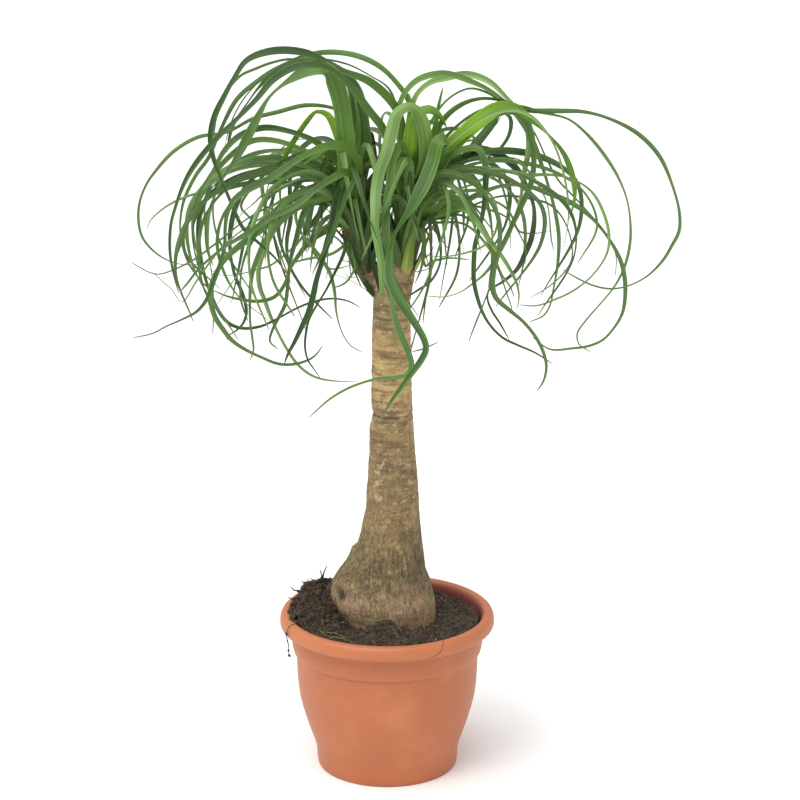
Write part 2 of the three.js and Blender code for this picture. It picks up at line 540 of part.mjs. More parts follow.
// Leaves of the right head
const RIGHT_LEAVES = [
  // Arches that pass over to the left side
  { wide: 10, root: 0.95, depth: [0, -30, -56, -68, -72], trace: [
    [20, 712], [10, 748], [-16, 775], [-47, 788], [-82, 806], [-119, 809], [-147, 799], [-160, 781],
    [-172, 760], [-182, 740], [-187, 718], [-185, 697], [-177, 674], [-166, 645], [-154, 618], [-139, 603],
    [-120, 585], [-104, 562],
  ] },
  { wide: 7, root: 0.9, depth: [0, 44, 58, 56, 50], trace: [
    [26, 712], [25, 752], [10, 776], [-11, 795], [-40, 806], [-76, 806], [-114, 791], [-136, 777],
    [-158, 758], [-176, 725], [-190, 694], [-202, 678], [-210, 664], [-217, 648], [-221, 628], [-221, 606],
    [-215, 583], [-206, 567], [-194, 553], [-174, 543],
  ] },
  { wide: 4, root: 0.7, depth: [0, 64, 80, 84], trace: [
    [15, 705], [5, 765], [-18, 783], [-45, 796], [-78, 800], [-122, 785], [-148, 762], [-164, 735],
    [-172, 708],
  ] },
  { wide: 9, root: 0.6, depth: [0, -44, -70, -84, -88], trace: [
    [10, 692], [-3, 725], [-18, 745], [-38, 771], [-62, 791], [-92, 793], [-119, 779], [-138, 757],
    [-161, 734], [-180, 716], [-200, 693], [-212, 675], [-220, 658], [-226, 641], [-231, 624], [-233, 606],
    [-233, 588], [-230, 568], [-225, 546],
  ] },
  // Folded straps that hang in front of the trunk
  { wide: 15, root: 0.75, depth: [0, -6, -60, -78, -82], trace: [
    [40, 688], [41, 718], [34, 741], [24, 749], [12, 742], [5, 720], [-1, 698], [-7, 682], [-11, 660], [-12, 638],
    [-12, 618], [-9, 600], [-6, 580], [-5, 562], [-6, 546], [-12, 540], [-24, 551], [-43, 562], [-62, 568],
  ] },
  { wide: 10, root: 0.5, depth: [0, -62, -96, -104, -104], trace: [
    [20, 690], [15, 708], [7, 694], [3, 665], [0, 640], [-1, 610], [0, 584], [1, 560], [5, 538], [12, 509],
    [18, 493], [24, 478], [27, 465], [23, 455], [10, 451], [-8, 450], [-24, 446], [-42, 439], [-62, 427],
    [-85, 406],
  ] },
  { wide: 17, root: 0.65, depth: [0, 0, -66, -112, -122, -124], trace: [
    [44, 672], [54, 700], [61, 714], [55, 711], [50, 693], [43, 673], [34, 653], [24, 634], [12, 616],
    [5, 598], [3, 580], [4, 562], [11, 544], [22, 526], [33, 509], [41, 494], [43, 483], [37, 470],
    [28, 457], [18, 443], [5, 424], [-10, 397],
  ] },
  // Arches to the right, the longest ones first
  { wide: 7, root: 0.6, depth: [0, -14, -20, -6, 10], trace: [
    [42, 690], [60, 735], [80, 752], [100, 758], [122, 756], [149, 746], [180, 745], [209, 744], [238, 736],
    [268, 720], [291, 696], [306, 663], [314, 634], [314, 614], [307, 599], [298, 583], [281, 565],
    [260, 554], [242, 551], [222, 555], [200, 566], [190, 572],
  ] },
  { wide: 6, root: 0.55, depth: [0, 10, 20, 26, 26], trace: [
    [45, 690], [70, 724], [100, 745], [135, 750], [166, 743], [193, 736], [211, 722], [231, 699], [248, 672],
    [258, 646], [262, 617], [261, 595], [255, 571], [245, 552], [231, 534], [217, 517], [207, 501],
    [209, 489], [222, 480],
  ] },
  { wide: 9, root: 0.85, depth: [0, -12, -44, -52, -44], trace: [
    [25, 700], [25, 738], [32, 762], [46, 775], [62, 780], [86, 784], [109, 776], [126, 760], [142, 742],
    [151, 718], [150, 695], [146, 675], [144, 655], [139, 635], [133, 615], [126, 600], [117, 583],
    [105, 567], [93, 557], [79, 547], [62, 542], [43, 543],
  ] },
  { wide: 8, root: 0.9, depth: [0, 14, 30, 40, 40], trace: [
    [20, 705], [13, 748], [30, 776], [60, 785], [88, 777], [112, 765], [135, 744], [154, 716], [165, 688],
    [174, 660], [181, 634], [185, 610], [185, 588], [183, 568], [180, 550], [177, 533], [170, 521],
    [155, 514],
  ] },
  { wide: 4, root: 0.8, depth: [0, 44, 60, 62], trace: [
    [32, 690], [50, 738], [67, 759], [88, 769], [108, 764], [128, 751], [144, 737], [157, 722], [169, 697],
    [183, 671], [197, 656], [213, 639], [228, 622], [240, 603], [247, 588], [247, 566],
  ] },
  { wide: 5, root: 0.5, depth: [0, -26, -36, -30], trace: [
    [52, 690], [80, 720], [110, 741], [135, 746], [154, 739], [170, 722], [180, 705], [187, 685], [192, 664],
    [195, 640], [194, 618], [190, 597],
  ] },
  { wide: 10, root: 0.5, depth: [0, 30, 44, 40, 30], trace: [
    [58, 690], [84, 704], [106, 703], [124, 695], [139, 682], [150, 662], [157, 643], [158, 625],
    [155, 605], [150, 592], [140, 572], [124, 558], [110, 549], [109, 539], [114, 526], [123, 512],
    [133, 494],
  ] },
  { wide: 6, root: 0.35, depth: [0, -20, -34, -36], trace: [
    [62, 656], [88, 664], [107, 673], [128, 680], [150, 676], [175, 676], [199, 671], [219, 658],
    [232, 636], [239, 610], [237, 590], [222, 566], [202, 549], [182, 539], [162, 532], [144, 533],
  ] },
  { wide: 8, root: 0.3, depth: [0, 24, 30, 26], trace: [
    [60, 638], [81, 646], [101, 656], [124, 664], [149, 664], [173, 656], [197, 646], [221, 628], [244, 598],
    [255, 573], [258, 546], [255, 523], [247, 508], [235, 494], [220, 487], [200, 484], [178, 483],
    [158, 497],
  ] },
  { wide: 4, root: 0.2, depth: [0, 60, 70], trace: [
    [62, 630], [90, 642], [124, 653], [155, 650], [176, 643], [191, 625], [199, 601], [199, 582], [189, 566],
    [172, 551], [155, 541],
  ] },
  // Leaves that hang on the right of the trunk
  { wide: 8, root: 0.45, depth: [0, -36, -54, -56], trace: [
    [60, 690], [83, 704], [98, 704], [105, 690], [106, 672], [105, 652], [103, 634], [99, 616], [95, 599],
    [94, 582], [94, 562], [97, 545], [104, 524], [113, 509], [126, 496], [142, 488], [162, 479], [180, 467],
  ] },
  { wide: 9, root: 0.25, depth: [0, 14, 14, 4], trace: [
    [52, 640], [70, 646], [85, 640], [99, 624], [108, 608], [115, 590], [115, 572], [114, 556], [118, 541],
    [134, 526], [148, 514], [161, 498], [170, 481], [174, 464], [171, 447], [164, 436],
  ] },
  { wide: 8, root: 0.2, depth: [0, -60, -84, -86], trace: [
    [54, 632], [70, 638], [84, 638], [97, 624], [108, 608], [121, 591], [132, 574], [141, 555], [143, 540],
    [141, 528],
  ] },
  { wide: 8, root: 0.1, depth: [0, -20, -34, -40], trace: [
    [40, 634], [48, 630], [55, 613], [58, 596], [57, 578], [48, 560], [33, 549], [21, 541],
  ] },
  { wide: 5, root: 0.3, depth: [0, -60, -62, -50], trace: [
    [60, 652], [88, 659], [109, 656], [118, 640], [119, 624], [114, 608], [102, 597], [86, 591], [66, 587],
    [46, 587],
  ] },
  { wide: 4, root: 0.15, depth: [0, 34, 44], trace: [
    [60, 632], [90, 642], [116, 636], [132, 627], [143, 611], [150, 594], [149, 578],
  ] },
  { wide: 3, root: 0.1, depth: [0, 20, 26], trace: [[50, 630], [66, 630], [74, 620], [80, 606], [83, 591]] },
  { wide: 7, root: 0.05, depth: [0, -14, -20, -20], trace: [
    [36, 626], [40, 606], [40, 588], [36, 570], [30, 556],
  ] },
];

// Young, upright leaves at the heart of each head
const LEFT_YOUNG = [
  { wide: 9, root: 0.6, depth: [0, -10, -14, -16], trace: [
    [-45, 690], [-53, 722], [-63, 741], [-74, 744], [-84, 734], [-97, 715], [-107, 698], [-112, 680],
    [-114, 660], [-113, 638],
  ] },
  { wide: 9, root: 0.8, depth: [0, 4, 6], trace: [[-38, 690], [-41, 720], [-43, 746], [-48, 768]] },
  { wide: 8, root: 0.7, depth: [0, -18, -30], trace: [[-40, 684], [-46, 704], [-58, 708], [-72, 699], [-88, 688]] },
  { wide: 8, root: 0.5, depth: [0, 14, 24], trace: [[-34, 684], [-31, 712], [-30, 736], [-33, 757]] },
];
const RIGHT_YOUNG = [
  { wide: 18, root: 0.6, depth: [0, -8, -12, -14, -14], trace: [
    [44, 686], [58, 706], [74, 724], [94, 742], [117, 753], [138, 747], [156, 732], [172, 719], [189, 698],
    [199, 672], [201, 650], [196, 628],
  ] },
  { wide: 10, root: 0.8, depth: [0, 4, 8], trace: [[42, 694], [51, 722], [55, 748], [60, 771]] },
  { wide: 9, root: 0.7, depth: [0, -4, -4], trace: [[29, 700], [27, 722], [27, 744], [24, 764]] },
  { wide: 17, root: 0.5, depth: [0, -10, -8, 6], trace: [
    [25, 680], [25, 704], [27, 728], [34, 743], [45, 747], [56, 740], [64, 727],
  ] },
];

// Ways to swing a leaf towards or away from the viewer until it stands clear
const SWINGS = [0, 7, -7, 14, -14, 22, -22, 31, -31, 42, -42, 55, -55, 70, -70];
const LEANS = [0, 30, -30, 60, -60, 90, -90];
const FEW_CROSSINGS = 2;

// Seeds: one row of draws for the traced leaves, one for each try at an arching leaf
const LEAF_SEED = 20417;
const ARCH_SEED = 7919;
const ARCH_TRIES = 12;
const drawLeaf = drawFrom(LEAF_SEED);

// Turn of a blade from its root to its tip
function drawTurns(draw) {
  const lean = draw() < 0.5 ? -1 : 1;
  return [0, 1, 2].map(() => lean * BLADE_TURN * within([0.4, 1.2], draw()));
}

// True where a blade comes too close to any of the other pieces
function crowds(points, wide, turns, others) {
  const guard = bladeSolid(points, wide, turns, BLADE_THICKNESS + CLEAR_SPACE);
  return others.some((other) => !guard.intersect(other).isEmpty());
}

// Outer part of a blade, away from the packed roots around the core
function outerPart(blade, roots) {
  const packed = new THREE.SphereGeometry(PACKED_RADIUS, 8, 6);
  packed.translate(roots.high.x, roots.high.y, roots.high.z);
  return blade.subtract(solidOf(packed));
}

// Number of neighbouring blades that a blade runs through
function crossings(blade, neighbours) {
  return neighbours.filter((other) => boxesMeet(blade, other) && !blade.intersect(other).isEmpty()).length;
}

function boxesMeet(first, second) {
  const a = first.boundingBox();
  const b = second.boundingBox();
  return [0, 1, 2].every((axis) => a.min[axis] <= b.max[axis] && b.min[axis] <= a.max[axis]);
}

// Traced leaves, each swung in depth to where it stands clear of the other pieces
// and runs through the fewest leaves of its own head
function tracedBlades(leaves, roots, others, neighbours) {
  return leaves.map((leaf) => {
    const turns = drawTurns(drawLeaf);
    const fan = drawLeaf();
    const wide = leaf.wide / SEEN_WIDTH;
    let best = null;
    for (const lean of LEANS) {
      for (const swing of SWINGS) {
        const points = tracedRoute(leaf, roots, fan, swing, lean);
        if (crowds(points, wide, turns, others)) {
          continue;
        }
        const blade = bladeSolid(points, wide, turns, BLADE_THICKNESS);
        const outer = outerPart(blade, roots);
        const count = crossings(outer, neighbours);
        if (best === null || count < best.count) {
          best = { blade, outer, count };
        }
        if (count === 0) {
          break;
        }
      }
      if (best !== null && best.count <= FEW_CROSSINGS) {
        break;
      }
    }
    if (best === null) {
      throw new Error(`leaf that starts at ${leaf.trace[0]} finds no clear way`);
    }
    neighbours.push(best.outer);
    return best.blade;
  });
}

// Sizes of one try at an arching leaf; the number gives each try its own draws
function drawArch(number, bearings) {
  const draw = drawFrom(ARCH_SEED * (number + 1));
  const index = Math.floor(number / ARCH_TRIES);
  return {
    bearing: within(bearings, (index + 0.1 + 0.8 * draw()) / ARCH_COUNT),
    root: within(ARCH_ROOTS, draw()),
    reach: within(ARCH_REACH, draw()),
    rise: within(ARCH_RISE, draw()),
    drop: within(ARCH_DROP, draw()),
    wide: within(ARCH_WIDE, draw()),
    sway: within(ARCH_SWAY, draw()),
    turns: drawTurns(draw),
  };
}

// Leaves that fill the back and sides of a head, drawn again where they crowd another piece
function archBlades(bearings, roots, others, neighbours) {
  const blades = [];
  for (let index = 0; index < ARCH_COUNT; index += 1) {
    let best = null;
    for (let attempt = 0; attempt < ARCH_TRIES; attempt += 1) {
      const arch = drawArch(index * ARCH_TRIES + attempt, bearings);
      const points = archRoute(arch, roots);
      if (crowds(points, arch.wide, arch.turns, others)) {
        continue;
      }
      const blade = bladeSolid(points, arch.wide, arch.turns, BLADE_THICKNESS);
      const outer = outerPart(blade, roots);
      const count = crossings(outer, neighbours);
      if (best === null || count < best.count) {
        best = { blade, outer, count };
      }
      if (count === 0) {
        break;
      }
    }
    if (best !== null) {
      neighbours.push(best.outer);
      blades.push(best.blade);
    }
  }
  return blades;
}

// Largest body of a solid; loose scraps are left out
function mainBody(solid) {
  return solid.decompose().reduce((best, part) => (part.volume() > best.volume() ? part : best));
}

// Finishes
const terracotta = new THREE.MeshStandardMaterial({ color: 0xcd7d55, roughness: 0.55, metalness: 0 });
const earth = new THREE.MeshStandardMaterial({ color: 0x33271c, roughness: 1, metalness: 0 });
const bark = new THREE.MeshStandardMaterial({ color: 0xa08a5c, roughness: 0.9, metalness: 0 });
const leafGreen = new THREE.MeshStandardMaterial({ color: 0x477a38, roughness: 0.45, metalness: 0 });
const youngGreen = new THREE.MeshStandardMaterial({ color: 0x7fb733, roughness: 0.45, metalness: 0 });

const pot = makePot(terracotta);
const soil = makeSoil(earth);
const trunkSolid = makeTrunk();

const coreOf = (route) => solidOf(limb(route, CORE_SIDES, CORE_STEPS));
const leftCore = coreOf(LEFT_CORE);
const rightCore = coreOf(RIGHT_CORE);
const leftYoung = mainBody(wasm.Manifold.union([
  coreOf(LEFT_SPINDLE), ...tracedBlades(LEFT_YOUNG, LEFT_HEART, [trunkSolid, rightCore], []),
]));
const rightYoung = mainBody(wasm.Manifold.union([
  coreOf(RIGHT_SPINDLE), ...tracedBlades(RIGHT_YOUNG, RIGHT_HEART, [trunkSolid, leftCore, leftYoung], []),
]));

// Spindle grown by the fit, used to open its seat in a core
function seat(spindle) {
  const wider = spindle.map(([x, y, z, radius]) => [x, y, z, radius + FIT]);
  wider[0][2] -= FIT;
  wider[2][2] += 2 * FIT;
  return coreOf(wider);
}

const rightOthers = [trunkSolid, leftCore, leftYoung, rightYoung];
const rightOuter = [];
const rightBlades = [
  ...tracedBlades(RIGHT_LEAVES, RIGHT_ROOTS, rightOthers, rightOuter),
  ...archBlades(RIGHT_BEARINGS, RIGHT_ROOTS, rightOthers, rightOuter),
];
const rightHead = mainBody(
  wasm.Manifold.union([rightCore, ...rightBlades]).subtract(socket(RIGHT_STUB)).subtract(seat(RIGHT_SPINDLE)),
);
const leftOthers = [trunkSolid, rightHead, leftYoung, rightYoung];
const leftOuter = [];
const leftBlades = [
  ...tracedBlades(LEFT_LEAVES, LEFT_ROOTS, leftOthers, leftOuter),
  ...archBlades(LEFT_BEARINGS, LEFT_ROOTS, leftOthers, leftOuter),
];
const leftHead = mainBody(
  wasm.Manifold.union([leftCore, ...leftBlades]).subtract(socket(LEFT_STUB)).subtract(seat(LEFT_SPINDLE)),
);

const plant = new THREE.Group();
plant.name = 'potted_ponytail_palm';
plant.add(
  pot,
  soil,
  pieceOf('trunk', trunkSolid, bark),
  pieceOf('left_head_leaves', leftHead, leafGreen),
  pieceOf('right_head_leaves', rightHead, leafGreen.clone()),
  pieceOf('left_head_young_leaves', leftYoung, youngGreen),
  pieceOf('right_head_young_leaves', rightYoung, youngGreen.clone()),
);

export default plant;
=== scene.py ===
"""Potted ponytail palm: pot, soil, trunk, two heads of strap leaves and loose litter."""

import logging
import math
import random
from collections.abc import Sequence
from dataclasses import dataclass, field
from enum import Enum

import bpy
from mathutils import Matrix, Vector, noise


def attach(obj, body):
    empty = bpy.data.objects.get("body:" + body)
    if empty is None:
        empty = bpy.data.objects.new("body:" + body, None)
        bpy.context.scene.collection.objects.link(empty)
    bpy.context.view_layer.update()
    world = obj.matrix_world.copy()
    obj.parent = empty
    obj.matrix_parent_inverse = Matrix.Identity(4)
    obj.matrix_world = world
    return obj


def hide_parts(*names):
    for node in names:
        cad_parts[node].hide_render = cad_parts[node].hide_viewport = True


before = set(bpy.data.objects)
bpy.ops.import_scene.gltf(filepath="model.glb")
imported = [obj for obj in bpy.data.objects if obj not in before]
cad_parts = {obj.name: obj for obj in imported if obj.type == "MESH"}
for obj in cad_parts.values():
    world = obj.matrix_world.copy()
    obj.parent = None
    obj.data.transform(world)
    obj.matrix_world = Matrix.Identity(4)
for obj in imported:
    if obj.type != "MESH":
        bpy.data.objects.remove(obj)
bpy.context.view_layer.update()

LOG = logging.getLogger("ponytail_palm")
MM = 0.001
BODY = "root"

# Leaf routes are seen from this point and read on the upright plane through the trunk
VIEWPOINT = Vector((14.4, -2800.0, 1246.0))

# Seeds of the draws for the soil, its spilled edge, the litter, the leaf tones and the sheaths
SOIL_SEED = 31
SPILL_SEED = 37
LITTER_SEED = 11
TONE_SEED = 7
SHEATH_SEED = 19

# Mark of a point about which the finish has nothing to know
PLAIN_MARK = 0.5

# Angles in degrees above which the edges of a piece stay sharp
POT_CREASE = 38.0
GRIT_CREASE = 40.0
LEAF_CREASE = 50.0
STICK_CREASE = 60.0
CLOD_CREASE = 80.0
NO_CREASE = 180.0

Colour = tuple[float, float, float]
Place = tuple[float, float, float]
Pair = tuple[float, float]
Station = tuple[float, float, float, float]
Face = tuple[int, ...]
Body = tuple[list[Vector], list[Face]]
Socket = bpy.types.NodeSocket


class Side(Enum):
    """Which of the two heads a piece belongs to."""

    LEFT = "left"
    RIGHT = "right"


class Slot(Enum):
    """Material slots of the part's record."""

    POT = "pot"
    SOIL = "soil"
    BARK = "bark"
    LEAF = "leaf"
    YOUNG_LEAF = "young_leaf"


class Sum(Enum):
    """Ways to join two amounts in a finish."""

    TIMES = "MULTIPLY"
    PLUS = "ADD"
    SIZE = "ABSOLUTE"


# Shared helpers


def bump(value: float, middle: float, spread: float) -> float:
    """Give a soft rise and fall around a middle value.

    Args:
        value: Where the curve is read.
        middle: Value at the top of the rise.
        spread: Distance over which it falls away.

    Returns:
        A share between 0 and 1.
    """
    return math.exp(-(((value - middle) / spread) ** 2))


def clamp(value: float, low: float = 0.0, high: float = 1.0) -> float:
    """Keep a value between two ends."""
    return max(low, min(high, value))


def within(ends: Sequence[float], share: float) -> float:
    """Give the value at a share of the way between two ends."""
    return ends[0] + (ends[1] - ends[0]) * share


def along(values: Sequence[float], share: float) -> float:
    """Read a list of evenly spread values at a share of its length.

    Args:
        values: Values from the start to the end.
        share: Where to read, from 0 to 1.

    Returns:
        The value there, on straight lines between the listed ones.
    """
    place = share * (len(values) - 1)
    index = min(int(place), len(values) - 2)
    return within((values[index], values[index + 1]), place - index)


def fractal(point: Vector, scale: float, octaves: int = 3) -> float:
    """Give rough noise at a point.

    Args:
        point: Point in mm.
        scale: Features per mm.
        octaves: Number of finer layers.

    Returns:
        A value of about -1 to 1.
    """
    total = 0.0
    strength = 1.0
    for layer in range(octaves):
        total += strength * noise.noise(point * scale * 2**layer)
        strength *= 0.5
    return total


def level_way(angle: float) -> Vector:
    """Give the level unit way at an angle in radians."""
    return Vector((math.cos(angle), math.sin(angle), 0))


def level_ring(radius: float, height: float, sides: int) -> list[Vector]:
    """Give a level ring of points round the upright axis.

    Args:
        radius: Radius in mm.
        height: Height in mm.
        sides: Number of points.

    Returns:
        The points, from the right leftward round the back.
    """
    angles = [math.tau * side / sides for side in range(sides)]
    return [Vector((radius * math.cos(angle), radius * math.sin(angle), height)) for angle in angles]


def tilted_ring(middle: Vector, first: Vector, second: Vector, radius: float, sides: int) -> list[Vector]:
    """Give a ring of points in any plane.

    Args:
        middle: Its middle.
        first: Unit way to its first point.
        second: Unit way to the point a quarter turn on.
        radius: Radius in mm.
        sides: Number of points.

    Returns:
        The points.
    """
    points = []
    for side in range(sides):
        angle = math.tau * side / sides
        points.append(middle + (first * math.cos(angle) + second * math.sin(angle)) * radius)
    return points


def neighbours(route: Sequence[Vector], index: int) -> tuple[Vector, Vector, Vector]:
    """Look at the stations next to one of a route.

    Args:
        route: Stations.
        index: Number of the station.

    Returns:
        The station before, the one after, and the unit way from one to the other.
    """
    back = route[max(index - 1, 0)]
    ahead = route[min(index + 1, len(route) - 1)]
    return back, ahead, (ahead - back).normalized()


def hold(name: str, data: bpy.types.ID) -> bpy.types.Object:
    """Make an object and link it to the scene.

    Args:
        name: Its name.
        data: Its mesh, light or camera.

    Returns:
        The object.
    """
    made = bpy.data.objects.new(name, data)
    bpy.context.scene.collection.objects.link(made)
    return made


@dataclass
class MeshStock:
    """Points and faces gathered for one piece, in millimetres."""

    points: list[Vector] = field(default_factory=list)
    faces: list[Face] = field(default_factory=list)
    places: list[Pair] = field(default_factory=list)
    marks: list[Colour] = field(default_factory=list)

    def add(self, body: Body, places: Sequence[Pair] = (), marks: Sequence[Colour] = ()) -> None:
        """Add one body to the piece.

        Args:
            body: Its points in mm, and its faces counted from its own first point.
            places: Texture places of the points.
            marks: Three values a point that the finish reads.
        """
        points, faces = body
        first = len(self.points)
        self.points.extend(points)
        self.faces.extend(tuple(first + corner for corner in face) for face in faces)
        self.places.extend(places or [(0.0, 0.0)] * len(points))
        self.marks.extend(marks or [(PLAIN_MARK, PLAIN_MARK, PLAIN_MARK)] * len(points))

    def add_toned(self, body: Body, tone: float) -> None:
        """Add one body whose finish reads one tone, from dark to light."""
        self.add(body, marks=[(tone, PLAIN_MARK, PLAIN_MARK)] * len(body[0]))

    def piece(self, name: str, material: bpy.types.Material, crease: float = LEAF_CREASE) -> bpy.types.Object:
        """Make the object.

        Args:
            name: Name of the object.
            material: Its finish.
            crease: Angle in degrees above which an edge stays sharp.

        Returns:
            The object, linked to the scene.
        """
        mesh = bpy.data.meshes.new(name)
        mesh.from_pydata([point * MM for point in self.points], [], self.faces)
        mesh.update()
        sheet = mesh.uv_layers.new(name="Place")
        corners = [place for loop in mesh.loops for place in self.places[loop.vertex_index]]
        sheet.data.foreach_set("uv", corners)
        marks = mesh.color_attributes.new(name="Marks", type="FLOAT_COLOR", domain="POINT")
        marks.data.foreach_set("color", [value for mark in self.marks for value in (*mark, 1.0)])
        mesh.polygons.foreach_set("use_smooth", [True] * len(mesh.polygons))
        mesh.set_sharp_from_angle(angle=math.radians(crease))
        mesh.materials.append(material)
        return hold(name, mesh)


def skin(rings: Sequence[Sequence[Vector]]) -> Body:
    """Close a stack of rings that all have the same number of points.

    Args:
        rings: Rings of points from one end to the other.

    Returns:
        Points and faces of the closed body.
    """
    sides = len(rings[0])
    points = [point for ring in rings for point in ring]
    faces: list[Face] = []
    for level in range(len(rings) - 1):
        for side in range(sides):
            after = (side + 1) % sides
            low = level * sides
            high = low + sides
            faces.append((low + side, low + after, high + after, high + side))
    last = (len(rings) - 1) * sides
    faces.append(tuple(reversed(range(sides))))
    faces.append(tuple(range(last, last + sides)))
    return points, faces


def smooth_route(points: Sequence[Vector], step: float) -> tuple[list[Vector], list[float]]:
    """Run a smooth curve through points, with the same pull as in the solids.

    Args:
        points: Points that the curve passes through.
        step: Longest distance between two stations in mm.

    Returns:
        Stations on the curve, and the share of the points passed at each.
    """
    ghosts = [2 * points[0] - points[1], *points, 2 * points[-1] - points[-2]]
    route: list[Vector] = []
    shares: list[float] = []
    spans = len(points) - 1
    for index in range(spans):
        before, start, end, after = ghosts[index : index + 4]
        gap = max((end - start).length ** 0.5, 1e-4)
        gap_before = max((start - before).length ** 0.5, 1e-4)
        gap_after = max((after - end).length ** 0.5, 1e-4)
        leave = (start - before) / gap_before - (end - before) / (gap_before + gap) + (end - start) / gap
        arrive = (end - start) / gap - (after - start) / (gap + gap_after) + (after - end) / gap_after
        leave = leave * gap
        arrive = arrive * gap
        square = 3 * (end - start) - 2 * leave - arrive
        cube = 2 * (start - end) + leave + arrive
        pieces = max(2, math.ceil((end - start).length / step))
        for piece in range(pieces):
            share = piece / pieces
            route.append(start + leave * share + square * share**2 + cube * share**3)
            shares.append((index + share) / spans)
    route.append(points[-1].copy())
    shares.append(1.0)
    return route, shares


def tube(stock: MeshStock, route: Sequence[Vector], radii: Sequence[float], sides: int, tone: float) -> None:
    """Add a round stick along a route.

    Args:
        stock: Piece that takes the stick.
        route: Points along its middle.
        radii: Radii from its start to its end.
        sides: Number of sides.
        tone: Tone that the finish reads.
    """
    guide = Vector((0.31, 0.53, 0.79))
    rings = []
    for index, point in enumerate(route):
        tangent = neighbours(route, index)[2]
        across = tangent.cross(guide).normalized()
        radius = along(radii, index / (len(route) - 1))
        rings.append(tilted_ring(point, across, tangent.cross(across), radius, sides))
    stock.add_toned(skin(rings), tone)


def limb(stations: Sequence[Station], sides: int, step: float) -> list[list[Vector]]:
    """Give rings along a tapered round limb.

    Args:
        stations: Points with a radius each.
        sides: Number of sides.
        step: Longest distance between two rings in mm.

    Returns:
        Rings of points.
    """
    radii = [station[3] for station in stations]
    route, shares = smooth_route([Vector(station[:3]) for station in stations], step)
    rings = []
    for index, point in enumerate(route):
        tangent = neighbours(route, index)[2]
        across = Vector((0, 1, 0)).cross(tangent).normalized()
        front = tangent.cross(across).normalized()
        rings.append(tilted_ring(point, across, front, along(radii, shares[index]), sides))
    return rings


def lump(stock: MeshStock, middle: Vector, radius: float, draws: random.Random, tone: float) -> None:
    """Add a small uneven clod.

    Args:
        stock: Piece that takes the clod.
        middle: Its middle in mm.
        radius: Its rough radius in mm.
        draws: Seeded draws.
        tone: Tone that the finish reads.
    """
    levels = 4
    sides = 6
    turn = Matrix.Rotation(math.tau * draws.random(), 3, Vector((draws.random(), draws.random(), 1.0)))
    flat = 0.6 + 0.4 * draws.random()
    rings = []
    for level in range(levels + 1):
        tilt = math.pi * (0.08 + 0.84 * level / levels)
        out = math.sin(tilt)
        ring = []
        for side in range(sides):
            angle = math.tau * side / sides
            way = Vector((out * math.cos(angle), out * math.sin(angle), -math.cos(tilt) * flat))
            reach = radius * (0.75 + 0.5 * draws.random())
            ring.append(middle + turn @ way * reach)
        rings.append(ring)
    stock.add_toned(skin(rings), tone)


def settle(piece: bpy.types.Object) -> None:
    """Apply all modifiers of a piece.

    Args:
        piece: Piece with modifiers.
    """
    state = bpy.context.evaluated_depsgraph_get()
    mesh = bpy.data.meshes.new_from_object(piece.evaluated_get(state))
    piece.modifiers.clear()
    piece.data = mesh


def keep(piece: bpy.types.Object, slot: Slot, *nodes: str) -> None:
    """Tell the frame what a piece rides on and hide the solids that it stands for.

    Args:
        piece: The piece.
        slot: Slot of the record that the finish belongs to; not used.
        nodes: Names of the solids that it replaces.
    """
    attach(piece, BODY)
    if nodes:
        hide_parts(*nodes)
    LOG.info("%s: %d faces", piece.name, len(piece.data.polygons))


# Finishes


